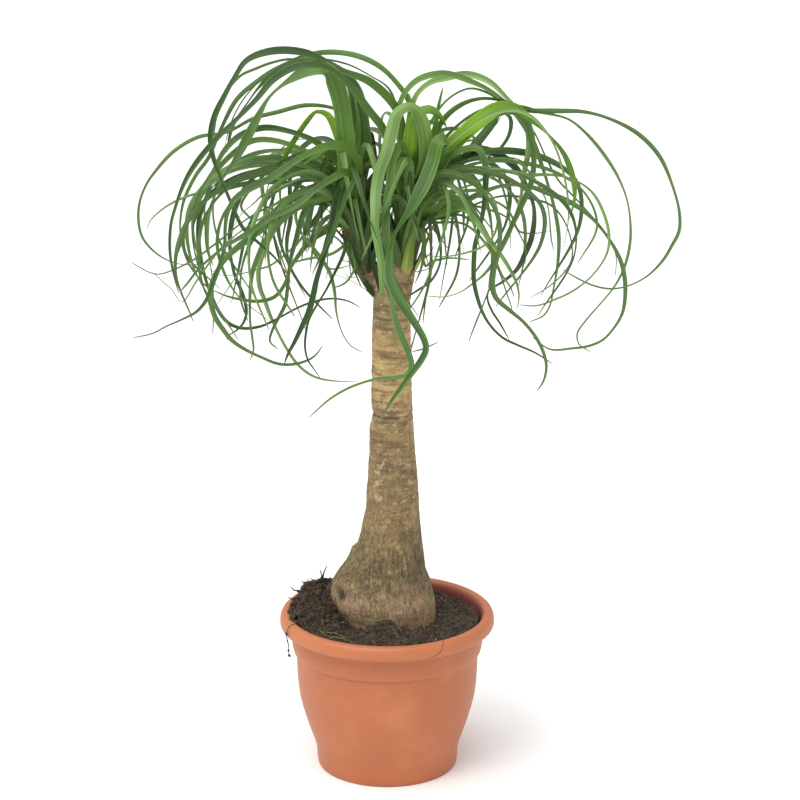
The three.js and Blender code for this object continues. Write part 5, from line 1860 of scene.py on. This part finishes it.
RIGHT_THIN = (
    Leaf(3.5, 0.8, 0, (0, 20, 30), (
        (28, 690), (28, 716), (42, 717), (61, 715), (81, 712), (95, 715), (107, 722), (116, 730),
        (122, 739),
    )),
    Leaf(4, 0.5, 0, (0, -40, -50), (
        (52, 664), (68, 670), (86, 676), (101, 681), (116, 683), (130, 681), (148, 672),
    )),
    Leaf(4, 0.5, 0, (0, 40, 50), (
        (56, 674), (84, 690), (120, 695), (130, 695), (140, 693), (156, 684),
    )),
    Leaf(4, 0.2, 0, (0, -50, -60), (
        (56, 628), (80, 632), (104, 612), (121, 571), (126, 557), (130, 545), (134, 534), (136, 527),
    )),
    Leaf(4, 0.15, 0, (0, -24, -30), (
        (54, 624), (84, 622), (110, 596), (125, 565), (133, 554), (136, 547), (138, 541),
    )),
    Leaf(4, 0.1, 0, (0, 30, 50), (
        (44, 612), (48, 590), (46, 560), (36, 520), (28, 490), (26, 481), (38, 483), (47, 487),
        (56, 491),
    )),
    Leaf(4, 0.1, 0, (0, -20, -30), (
        (40, 610), (38, 592), (42, 576), (47, 580), (55, 583), (66, 585), (82, 584), (89, 583),
    )),
    Leaf(4, 0.3, 0, (0, 40, 46), (
        (60, 640), (96, 652), (128, 640), (143, 614), (153, 612), (163, 612.5), (175, 615),
    )),
    Leaf(4, 0.4, 0, (0, -30, -36), (
        (60, 660), (100, 690), (140, 690), (170, 650), (176, 615), (177, 605), (180, 594),
    )),
    Leaf(13, 0.7, 0, (0, 20, 26), (
        (46, 652), (60, 668), (78, 688), (94, 708), (110, 728), (122, 743), (131, 738), (131, 722),
        (122, 706), (107, 694),
    ), None, 0.10),
    Leaf(11, 0.9, 0, (0, 18, 12, -4, -14), (
        (60, 690), (84, 716), (108, 737), (130, 746), (146, 738), (156, 706), (155, 670), (146, 646),
        (136, 624), (122, 594), (113, 572), (110, 552),
    ), None, 0.42),
)


@dataclass
class Blade:
    """One blade: stations, their shares of the length, widest place, turns in degrees and tone.

    The turns run from root to tip and lead away from the viewer.
    """

    route: list[Vector]
    shares: list[float]
    wide: float
    turns: Sequence[float]
    tone: float = 0.5


@dataclass
class BladeMaker:
    """Makes strap leaves with a shallow channel, thin edges and a thread-like tip, in mm."""

    thickness: float = 0.6
    tip_width: float = 0.8
    channel: float = 0.17
    sheath_width: float = 0.8
    sheath_share: float = 0.15
    taper_share: float = 0.86
    taper_power: float = 0.62
    flutter: float = 20.0
    flutter_length: float = 120.0
    step: float = 6.0
    root_sink: float = 0.4
    exit_rise: float = 14.0
    exit_bearings: Pair = (20.0, 85.0)
    smoothings: int = 4
    # Places round the section: share of the half width, and 1 on the upper face or 0 below
    section: tuple[tuple[float, int], ...] = (
        (-1.0, 1), (-0.5, 1), (0.0, 1), (0.5, 1), (1.0, 1), (0.5, 0), (0.0, 0), (-0.5, 0),
    )

    def width(self, wide: float, share: float) -> float:
        """Give the width of a leaf.

        Args:
            wide: Widest place.
            share: Share of its length.

        Returns:
            The width there.
        """
        sheath = self.sheath_width + (1 - self.sheath_width) * min(1.0, share / self.sheath_share)
        taper = min(1.0, (1 - share) / self.taper_share) ** self.taper_power
        return self.tip_width + (wide - self.tip_width) * sheath * taper

    def traced(self, leaf: Leaf, roots: RootLine, draws: Draws, wide: float, tone: float) -> Blade:
        """Give the blade of a leaf read off the view.

        Args:
            leaf: The leaf.
            roots: Line that it grows from.
            draws: Row of draws.
            wide: Widest place.
            tone: Tone, where the leaf has none of its own.

        Returns:
            The blade.
        """
        turns = draws.turns()
        root = roots.at(leaf.root)
        side = -1 if leaf.depth[-1] + leaf.swing < 0 else 1
        leftward = -1 if leaf.trace[-1][0] < root.x else 1
        bearing = math.radians(within(self.exit_bearings, draws()))
        outward = Vector((leftward * math.cos(bearing), side * math.sin(bearing), 0))
        points = [root + outward * self.root_sink * roots.exit, root + outward * roots.exit]
        points[1].z += self.exit_rise
        for index, (across, height) in enumerate(leaf.trace):
            share = index / (len(leaf.trace) - 1)
            stand_off = side * roots.exit + leaf.swing * min(1.0, 0.35 + 3 * share)
            depth = along(leaf.depth, share) + stand_off
            seen = Vector((across, 0.0, height))
            points.append(VIEWPOINT + (seen - VIEWPOINT) * (1 - depth / VIEWPOINT.y))
        route, shares = smooth_route(points, self.step)
        return Blade(route, shares, wide, leaf.turns or turns, leaf.tone or tone)

    def arch(
        self, draws: Draws, bearing: float, ranges: ArchRanges, roots: RootLine, shape: tuple[Pair, ...]
    ) -> Blade:
        """Draw a blade that arches out to a bearing and droops.

        Args:
            draws: Row of draws.
            bearing: Bearing in degrees.
            ranges: Ranges of its sizes.
            roots: Line that it grows from.
            shape: Shares of the reach outward and of the rise or drop.

        Returns:
            The blade, in a middle tone.
        """
        root = roots.at(within(ranges.roots, draws()))
        reach = within(ranges.reach, draws())
        rise = within(ranges.rise, draws())
        drop = within(ranges.drop, draws())
        wide = within(ranges.wide, draws())
        sway = within(ranges.sway, draws())
        turns = draws.turns()
        flick = within(ranges.flick, draws())
        points = []
        for index, (out, up) in enumerate(shape):
            share = index / (len(shape) - 1)
            out += flick * share**4
            point = root + level_way(math.radians(bearing + sway * share * share)) * out * reach
            point.z += up * (rise if up > 0 else drop)
            points.append(point)
        route, shares = smooth_route(points, self.step)
        return Blade(route, shares, wide, turns)

    def hugging(self, points: Sequence[Vector], outward: Vector, wide: float, tone: float) -> Blade:
        """Give a blade that lies with its back to a core.

        Args:
            points: Points of its route.
            outward: Way out from the core.
            wide: Widest place.
            tone: Its tone.

        Returns:
            The blade, turned by one angle all along.
        """
        route, shares = smooth_route(points, self.step)
        sight = (route[0] - VIEWPOINT).normalized()
        tangent = (route[-1] - route[0]).normalized()
        across = tangent.cross(sight).normalized()
        wanted = tangent.cross(outward).normalized()
        turn = math.degrees(math.atan2(tangent.dot(across.cross(wanted)), across.dot(wanted)))
        return Blade(route, shares, wide, (turn, turn, turn), tone)

    def frames(self, blade: Blade) -> list[tuple[Vector, Vector]]:
        """Give the way along and the way across a blade at each station.

        Args:
            blade: The blade.

        Returns:
            Pairs of unit vectors.
        """
        ways = []
        before = None
        passed = 0.0
        for index, point in enumerate(blade.route):
            back, ahead, tangent = neighbours(blade.route, index)
            passed += (point - back).length
            across = tangent.cross((point - VIEWPOINT).normalized()).normalized()
            if before is not None and across.dot(before) < 0:
                across = -across
            before = across.copy()
            wave = math.sin(math.tau * passed / self.flutter_length + 9 * blade.turns[0])
            turn = math.radians(along(blade.turns, blade.shares[index]) + self.flutter * wave)
            across = Matrix.Rotation(turn, 3, tangent) @ across
            if 0 < index < len(blade.route) - 1:
                width = self.width(blade.wide, blade.shares[index])
                across = self.eased(across, tangent, (back, point, ahead), width)
            ways.append((tangent, across))
        for _ in range(self.smoothings):
            smoothed = [ways[0]]
            for index in range(1, len(ways) - 1):
                tangent = ways[index][0]
                across = ways[index - 1][1] + 2 * ways[index][1] + ways[index + 1][1]
                across -= tangent * across.dot(tangent)
                smoothed.append((tangent, across.normalized()))
            smoothed.append(ways[-1])
            ways = smoothed
        return ways

    def eased(self, across: Vector, tangent: Vector, stations: Sequence[Vector], width: float) -> Vector:
        """Turn the width of a blade out of a tight bend, as a strap bends about its width.

        Args:
            across: Way across the blade.
            tangent: Way along it.
            stations: The station before, this one and the one after.
            width: Width here.

        Returns:
            The new way across.
        """
        back, point, ahead = stations
        reach = ((point - back).length + (ahead - point).length) / 2
        bend = ((ahead - point).normalized() - (point - back).normalized()) / reach
        bend -= tangent * bend.dot(tangent)
        sharpness = bend.length * width
        if sharpness < EASY_BEND:
            return across
        inward = bend.normalized()
        upright = tangent.cross(inward).normalized()
        most = min(1.0, TIGHT_BEND / sharpness)
        share = clamp(across.dot(inward), -most, most)
        side = -1 if across.dot(upright) < 0 else 1
        return inward * share + upright * side * math.sqrt(1 - share * share)

    def add(self, stock: MeshStock, blade: Blade) -> None:
        """Add one blade to a piece.

        Args:
            stock: Piece that takes the blade.
            blade: The blade.
        """
        ways = self.frames(blade)
        lift = sum(tangent.cross(across).z for tangent, across in ways[: 2 * len(ways) // 3])
        upward = 1 if lift > 0 else -1
        points: list[Vector] = []
        places: list[Pair] = []
        marks: list[Colour] = []
        length = 0.0
        for index, (tangent, across) in enumerate(ways):
            middle = blade.route[index]
            share = blade.shares[index]
            if index > 0:
                length += (middle - blade.route[index - 1]).length
            half = self.width(blade.wide, share) / 2
            face = tangent.cross(across).normalized() * upward
            fold = self.channel * half * min(1.0, 3 * share + 0.3)
            for out, top in self.section:
                rise = fold * (abs(out) ** 1.3 - 0.4)
                body = self.thickness * (1 - abs(out)) / 2
                height = rise + (body if top else -body)
                points.append(middle + across * half * out + face * height)
                places.append((0.5 + 0.5 * out, length / 100))
                marks.append((blade.tone, share, 0.5 if abs(out) == 1 else float(top)))
        faces = self.blade_faces(len(ways))
        if upward < 0:
            faces = [tuple(reversed(face)) for face in faces]
        stock.add((points, faces), places, marks)

    def blade_faces(self, stations: int) -> list[Face]:
        """Give the faces of a blade whose upper side looks up.

        Args:
            stations: Number of stations.

        Returns:
            The faces.
        """
        count = len(self.section)
        faces: list[Face] = []
        for level in range(stations - 1):
            low = level * count
            high = low + count
            for side in range(count):
                after = (side + 1) % count
                faces.append((low + side, high + side, high + after, low + after))
        last = (stations - 1) * count
        faces.append(tuple(range(count)))
        faces.append(tuple(reversed(range(last, last + count))))
        return faces


BASE_MAKER = BladeMaker(
    thickness=1.0, channel=0.34, sheath_width=1.0, taper_share=1.1, flutter=0.0, step=4.0
)
SHEATH_MAKER = BladeMaker(
    thickness=1.0, channel=0.4, sheath_width=0.15, sheath_share=0.16, taper_share=1.1, flutter=0.0, step=3.0
)
FIBRE_MAKER = BladeMaker(
    thickness=0.7, channel=0.3, sheath_width=1.0, taper_share=0.8, flutter=0.0, step=3.0
)


@dataclass
class Head:
    """One head: a short core of packed leaf bases with grown, arching, thin and young leaves."""

    side: Side
    core: tuple[Station, ...]
    roots: RootLine
    heart: RootLine
    leaves: tuple[Leaf, ...]
    thin: tuple[Leaf, ...]
    young: tuple[Leaf, ...]
    arches: tuple[int, ...]
    bearings: Pair
    fill_bearings: Pair
    fill_count: int = 6
    fan_count: int = 27
    fan_gap: float = 30.0
    fibre_count: int = 9
    fill: ArchRanges = ArchRanges(
        roots=(0.0, 1.0), reach=(70, 150), rise=(40, 105), drop=(50, 130), wide=(5, 8), sway=(-70, 70),
        flick=(-0.6, 0.5),
    )
    fan: ArchRanges = ArchRanges(
        roots=(-0.6, 0.9), reach=(18, 62), rise=(48, 100), drop=(0, 34), wide=(8, 15), sway=(-45, 45),
        flick=(-0.3, 0.4),
    )
    # Rows of leaf bases: count, share of the core, width, lean and rise
    base_rows: tuple[tuple[int, float, float, float, float], ...] = (
        (9, 0.00, 16.0, 34.0, 60.0), (9, 0.22, 15.0, 30.0, 66.0), (8, 0.44, 14.0, 25.0, 66.0),
        (7, 0.66, 13.0, 19.0, 60.0), (6, 0.86, 12.0, 12.0, 54.0),
    )
    clasps: tuple[tuple[float, tuple[Place, ...]], ...] = ()
    clasp_finish: StrapLeaf = LEAF_BASE
    maker: BladeMaker = field(default_factory=BladeMaker)

    def grown(self, stock: MeshStock, draws: Draws, tones: random.Random) -> None:
        """Add the traced leaves.

        Args:
            stock: Piece that takes them.
            draws: Row of draws shared with the solids.
            tones: Seeded draws for the tones.
        """
        for leaf in self.leaves:
            wide = leaf.wide / SEEN_WIDTH - EDGE_TRIM
            self.maker.add(stock, self.maker.traced(leaf, self.roots, draws, wide, tones.random()))

    def fill_out(self, stock: MeshStock, tones: random.Random) -> None:
        """Add the arching leaves of the solids, partly hidden ones, and small ones that fill gaps.

        Args:
            stock: Piece that takes them.
            tones: Seeded draws for the tones.
        """
        for number in self.arches:
            draws = Draws(ARCH_SEED * (number + 1))
            sector = (number // ARCH_TRIES + 0.1 + 0.8 * draws()) / ARCH_COUNT
            ranges = ArchRanges(flick=ARCH_FLICK)
            blade = self.maker.arch(draws, within(self.bearings, sector), ranges, self.roots, ARCH_SHAPE)
            blade.wide -= 2 * EDGE_TRIM
            blade.tone = 0.8 * tones.random()
            self.maker.add(stock, blade)
        for leaf in self.thin:
            draws = Draws(LEAF_SEED + int(abs(leaf.trace[-1][0])) * THIN_SEED_STEP)
            tone = 0.3 + 0.6 * tones.random()
            self.maker.add(stock, self.maker.traced(leaf, self.roots, draws, leaf.wide, tone))
        for number in range(self.fill_count):
            draws = Draws(ARCH_SEED * (number + FILL_START))
            bearing = within(self.fill_bearings, (number + draws()) / self.fill_count)
            blade = self.maker.arch(draws, bearing, self.fill, self.roots, CURL_SHAPE)
            blade.tone = 0.1 + 0.8 * tones.random()
            self.maker.add(stock, blade)

    def fan_out(self, stock: MeshStock, tones: random.Random) -> None:
        """Add the broad straps that rise close together around the core before they droop.

        Args:
            stock: Piece that takes them.
            tones: Seeded draws for the tones.
        """
        inward = 0.0 if self.side is Side.LEFT else 180.0
        for number in range(self.fan_count):
            draws = Draws(ARCH_SEED * (number + FAN_START))
            bearing = FAN_TURN * number + 30 * draws()
            if abs((bearing - inward + 180) % 360 - 180) < self.fan_gap:
                continue
            blade = self.maker.arch(draws, bearing, self.fan, self.roots, FAN_SHAPE)
            blade.tone = 0.12 + 0.78 * tones.random()
            self.maker.add(stock, blade)

    def bases(self, tones: random.Random) -> MeshStock:
        """Make the core and the leaf bases that lean out around it in rows.

        Args:
            tones: Seeded draws for the tones.

        Returns:
            The gathered points and faces.
        """
        stock = MeshStock()
        body = skin(limb(self.core, CORE_SIDES, CORE_STEP))
        stock.add(body, marks=[(0.2, 0.06, 1.0)] * len(body[0]))
        low = Vector(self.core[0][:3])
        high = Vector(self.core[-1][:3])
        for row, (count, share, wide, lean, rise) in enumerate(self.base_rows):
            close = self.core[0][3] * (0.92 - 0.45 * share)
            for index in range(count):
                outward = level_way(math.tau * (index + 0.5 * (row % 2) + 0.3 * tones.random()) / count)
                root = low.lerp(high, share) + Vector((0, 0, 5 * tones.random() - 6))
                length = rise * (0.75 + 0.5 * tones.random())
                reach = lean * (0.7 + 0.6 * tones.random())
                points = []
                for out, up in BASE_SHAPE:
                    points.append(root + outward * (close + out * reach) + Vector((0, 0, up * length)))
                BASE_MAKER.add(stock, BASE_MAKER.hugging(points, outward, wide, tones.random()))
        return stock

    def sheaths(self, tones: random.Random) -> MeshStock:
        """Make the broad sheaths that clasp the neck below the head.

        Args:
            tones: Seeded draws for the tones.

        Returns:
            The gathered points and faces.
        """
        stock = MeshStock()
        middle = self.core[0][0]
        for wide, places in self.clasps:
            points = [Vector(place) for place in places]
            outward = Vector((points[1].x - middle, points[1].y, 0)).normalized()
            SHEATH_MAKER.add(stock, SHEATH_MAKER.hugging(points, outward, wide, tones.random()))
        return stock

    def fibres(self, draws: random.Random) -> MeshStock:
        """Make the dry brown remains of old leaf bases below the head.

        The right head has none in front, where the photo shows a fresh sheath.

        Args:
            draws: Seeded draws.

        Returns:
            The gathered points and faces.
        """
        stock = MeshStock()
        low = Vector(self.core[0][:3])
        for index in range(self.fibre_count):
            outward = level_way(math.tau * (index + 0.8 * draws.random()) / self.fibre_count)
            if self.side is Side.RIGHT and outward.y < -0.5:
                continue
            root = low + outward * self.core[0][3] * 0.9 + Vector((0, 0, draws.uniform(-14, 4)))
            length = draws.uniform(10, 30)
            drop = draws.uniform(0.2, 1.2)
            points = []
            for out, up in FIBRE_SHAPE:
                points.append(root + outward * out * length + Vector((0, 0, up * length * drop)))
            wide = draws.uniform(2, 6)
            FIBRE_MAKER.add(stock, FIBRE_MAKER.hugging(points, outward, wide, draws.uniform(0.1, 0.9)))
        return stock

    def heart_leaves(self, draws: Draws, tones: random.Random) -> MeshStock:
        """Make the spindle of young leaves.

        Args:
            draws: Row of draws shared with the solids.
            tones: Seeded draws for the tones.

        Returns:
            The gathered points and faces.
        """
        stock = MeshStock()
        for leaf in self.young:
            tone = 0.2 + 0.6 * tones.random()
            wide = leaf.wide / SEEN_WIDTH
            self.maker.add(stock, self.maker.traced(leaf, self.heart, draws, wide, tone))
        return stock


@dataclass
class Crown:
    """Both heads, made in the order in which the solids draw their leaves."""

    left: Head
    right: Head

    def build(self) -> None:
        """Make all leaves."""
        draws = Draws(LEAF_SEED)
        tones = random.Random(TONE_SEED)
        grown_finish = GROWN_LEAF.material()
        young_finish = YOUNG_LEAF.material()
        base_finish = LEAF_BASE.material()
        fibre_finish = DEAD_FIBRE.material()
        for head in (self.left, self.right):
            young = head.heart_leaves(draws, tones)
            name = head.side.value
            piece = young.piece(f"{name}_young_foliage", young_finish)
            keep(piece, Slot.YOUNG_LEAF, f"{name}_head_young_leaves")
        for head in (self.right, self.left):
            stock = MeshStock()
            head.grown(stock, draws, tones)
            head.fill_out(stock, tones)
            head.fan_out(stock, tones)
            name = head.side.value
            keep(stock.piece(f"{name}_foliage", grown_finish), Slot.LEAF, f"{name}_head_leaves")
            keep(head.bases(tones).piece(f"{name}_leaf_bases", base_finish), Slot.LEAF)
            keep(head.fibres(tones).piece(f"{name}_dead_fibres", fibre_finish), Slot.BARK)
            clasps = head.sheaths(random.Random(SHEATH_SEED))
            keep(clasps.piece(f"{name}_neck_sheaths", head.clasp_finish.material()), Slot.LEAF)


def make_crown() -> Crown:
    """Give both heads their sizes.

    Returns:
        The crown, not built yet.
    """
    left = Head(
        side=Side.LEFT,
        core=((-25, 0, 577, 11.4), (-33, 0, 600, 13), (-36, 0, 622, 12), (-37, 0, 642, 8)),
        roots=RootLine((-32, 0, 594), (-36, 0, 622), 10),
        heart=RootLine((-37, 0, 642), (-38, 0, 660), 1),
        leaves=LEFT_LEAVES,
        thin=LEFT_THIN,
        young=LEFT_YOUNG,
        arches=(1, 12, 28, 40, 52, 61, 82, 85, 99, 119, 121, 132, 149, 165, 169, 180),
        bearings=(60, 235),
        fill_bearings=(60, 300),
        clasps=(
            (9, ((-13, -3, 543), (-21, -5, 555), (-31, -6, 572), (-41, -6, 594), (-48, -4, 616))),
            (10, ((-14, 5, 546), (-24, 8, 562), (-34, 10, 582), (-44, 10, 606))),
            (9, ((-24, -8, 560), (-30, -12, 574), (-37, -14, 592), (-43, -13, 616))),
            (8, ((-6, -9, 548), (-10, -12, 562), (-15, -15, 582), (-20, -17, 610))),
            (10, ((-6, 10, 552), (-12, 13, 572), (-20, 15, 596), (-28, 15, 618))),
        ),
    )
    right = Head(
        side=Side.RIGHT,
        core=((17, 0, 580, 14.2), (22, 0, 606, 15), (26, 0, 632, 13), (29, 0, 652, 9)),
        roots=RootLine((21, 0, 610), (26, 0, 632), 10),
        heart=RootLine((29, 0, 652), (31, 0, 670), 1),
        leaves=RIGHT_LEAVES,
        thin=RIGHT_THIN,
        young=RIGHT_YOUNG,
        arches=(0, 19, 24, 60, 82, 100, 111, 120, 135, 146, 157, 168, 180),
        bearings=(-55, 130),
        fill_bearings=(-80, 130),
        fill_count=4,
        fan_count=19,
        clasps=(
            (16, ((22, -14, 570), (23, -17.5, 582), (26, -20.5, 602), (31, -22, 622), (38, -22, 646))),
            (10, ((30, -6, 570), (36, -9, 584), (43, -11, 604), (51, -11, 626))),
            (10, ((30, 6, 568), (36, 9, 582), (44, 11, 602), (53, 11, 624))),
            (11, ((14, 13, 572), (15, 17, 588), (16, 20, 610))),
        ),
        clasp_finish=FRESH_SHEATH,
    )
    return Crown(left, right)


# Litter


@dataclass
class Litter:
    """Twigs on the heap, a dry sprig over the rim, curled roots and a crack in the lip, in mm."""

    twigs: tuple[tuple[Place, ...], ...] = (
        ((-70, 4, 206), (-72, 3, 216), (-70, 1, 226), (-67, 0, 233)),
        ((-74, 6, 205), (-76, 4, 213), (-73, 2, 220), (-75, 1, 228)),
        ((-80, 6, 200), (-83, 4, 206), (-81, 2, 212)),
        ((-94, 2, 196), (-99, 0, 203), (-104, -2, 205), (-107, -3, 209)),
        ((-93, -8, 194), (-100, -10, 199), (-106, -11, 198), (-110, -11, 200)),
        ((-90, 10, 203), (-92, 9, 209), (-96, 8, 212)),
        ((-60, -30, 196), (-70, -34, 201), (-82, -36, 199), (-92, -34, 193)),
    )
    sprig: tuple[Place, ...] = (
        (-100, -46, 180), (-105, -48.5, 182), (-109, -50.5, 178.5), (-110.8, -51.4, 172),
        (-109.8, -51.5, 164), (-108.6, -51, 158), (-108.8, -50.5, 152), (-108, -50.5, 146),
    )
    roots: tuple[tuple[Place, ...], ...] = (
        ((-66, -58, 176), (-58, -66, 179), (-50, -72, 178), (-42, -74, 176), (-36, -70, 176)),
        ((-60, -70, 176), (-52, -78, 178), (-44, -82, 177), (-38, -86, 175)),
        ((-72, -48, 177), (-74, -58, 180), (-68, -68, 178), (-58, -76, 176)),
    )
    # Radius, bearing in degrees and height of each point of the crack
    crack: tuple[Place, ...] = (
        (110.4, -56, 180.9), (113, -57, 181.1), (116, -58, 180.5), (118.1, -59, 178.7), (119.3, -59.6, 176),
        (119.9, -60.6, 173), (120.1, -62.6, 170), (119.9, -65, 168), (119, -67.5, 166.2),
    )
    knot_size: float = 1.8
    clots: tuple[float, ...] = (1.9, 1.1, 0.9, 1.3, 2.1)
    twig_radii: tuple[float, ...] = (1.3, 1.0, 0.5)
    sprig_radii: tuple[float, ...] = (0.3, 0.4, 0.5, 0.6, 0.5, 0.5)
    root_radii: tuple[float, ...] = (0.5, 0.45, 0.2)
    crack_radii: tuple[float, ...] = (0.15, 0.28, 0.22, 0.30, 0.12)
    stick_step: float = 3.0
    stick_sides: int = 6

    def build(self) -> None:
        """Make all of it."""
        draws = random.Random(LITTER_SEED)
        stock = MeshStock()
        for line in self.twigs:
            self.stick(stock, line, self.twig_radii, 0.5)
            lump(stock, Vector(line[1]), self.knot_size, draws, 0.4)
        for place, size in zip(self.sprig[3:], self.clots, strict=True):
            lump(stock, Vector(place), size, draws, 0.3)
        self.stick(stock, self.sprig, self.sprig_radii, 0.2)
        keep(stock.piece("twigs", TWIG.material(), STICK_CREASE), Slot.SOIL)
        pale = MeshStock()
        for line in self.roots:
            self.stick(pale, line, self.root_radii, 0.35)
        keep(pale.piece("curled_roots", STRAW.material(), STICK_CREASE), Slot.SOIL)
        split = MeshStock()
        line = []
        for radius, bearing, height in self.crack:
            angle = math.radians(bearing)
            line.append((radius * math.cos(angle), radius * math.sin(angle), height))
        self.stick(split, line, self.crack_radii, 0.7)
        keep(split.piece("lip_crack", TWIG.material(), STICK_CREASE), Slot.POT)

    def stick(self, stock: MeshStock, line: Sequence[Place], radii: Sequence[float], tone: float) -> None:
        """Add one bent stick.

        Args:
            stock: Piece that takes it.
            line: Points along it in mm.
            radii: Radii along it in mm.
            tone: Tone from dark to light.
        """
        route, _ = smooth_route([Vector(point) for point in line], self.stick_step)
        tube(stock, route, radii, self.stick_sides, tone)


# Studio


@dataclass
class Studio:
    """Plain pale floor, soft light and the camera, in metres."""

    camera_place: Place = (0.0144, -2.8, 1.246)
    camera_tilt: float = 73.67
    lens: float = 120.0
    floor_half: float = 60.0
    floor_dark: Colour = (0.93, 0.93, 0.93)
    floor_light: Colour = (0.97, 0.97, 0.97)
    world_strength: float = 0.74
    lamp_place: Place = (-1.1, -1.6, 3.0)
    lamp_aim: Place = (0.0, 0.0, 0.45)
    lamp_power: float = 26.0
    lamp_size: float = 1.2
    sun_way: Place = (-0.26, -0.30, 1.0)
    sun_power: float = 1.8
    sun_spread: float = 60.0

    def build(self) -> None:
        """Make floor, world, lights and camera."""
        self.make_floor()
        self.make_world()
        self.make_lamp()
        self.make_sun()
        camera = bpy.data.cameras.new("camera")
        camera.lens = self.lens
        holder = hold("camera", camera)
        holder.location = self.camera_place
        holder.rotation_euler = (math.radians(self.camera_tilt), 0, 0)
        bpy.context.scene.camera = holder
        bpy.context.scene.view_settings.view_transform = "Standard"

    def make_floor(self) -> None:
        """Make the floor."""
        half = self.floor_half
        corners = [(-half, -half, 0), (half, -half, 0), (half, half, 0), (-half, half, 0)]
        mesh = bpy.data.meshes.new("floor")
        mesh.from_pydata(corners, [], [(0, 1, 2, 3)])
        bench = NodeBench("pale_floor")
        mottle = bench.grain(bench.place(), 3.0)
        colour = bench.ramp(mottle, ((0.0, self.floor_dark), (1.0, self.floor_light)))
        mesh.materials.append(bench.finish(colour, 0.8))
        hold("floor", mesh)

    def make_world(self) -> None:
        """Make the even white surroundings."""
        world = bpy.data.worlds.new("studio")
        world.use_nodes = True
        back = world.node_tree.nodes["Background"]
        back.inputs["Color"].default_value = (1.0, 1.0, 1.0, 1.0)
        back.inputs["Strength"].default_value = self.world_strength
        bpy.context.scene.world = world

    def make_lamp(self) -> None:
        """Make a soft square lamp that faces the plant, in watts."""
        light = bpy.data.lights.new("key_light", "AREA")
        light.energy = self.lamp_power
        light.size = self.lamp_size
        holder = hold("key_light", light)
        holder.location = self.lamp_place
        aim = Vector(self.lamp_aim) - Vector(self.lamp_place)
        holder.rotation_euler = aim.to_track_quat("-Z", "Y").to_euler()

    def make_sun(self) -> None:
        """Make an even soft light from far away, as wide as its spread in degrees."""
        light = bpy.data.lights.new("soft_daylight", "SUN")
        light.energy = self.sun_power
        light.angle = math.radians(self.sun_spread)
        holder = hold("soft_daylight", light)
        holder.rotation_euler = (-Vector(self.sun_way)).to_track_quat("-Z", "Y").to_euler()


def main() -> None:
    """Build every piece in order."""
    logging.basicConfig(level=logging.INFO, format="%(name)s %(message)s")
    Studio().build()
    Pot().build()
    Soil().build()
    Trunk().build()
    Litter().build()
    make_crown().build()


if __name__ == "__main__":
    main()
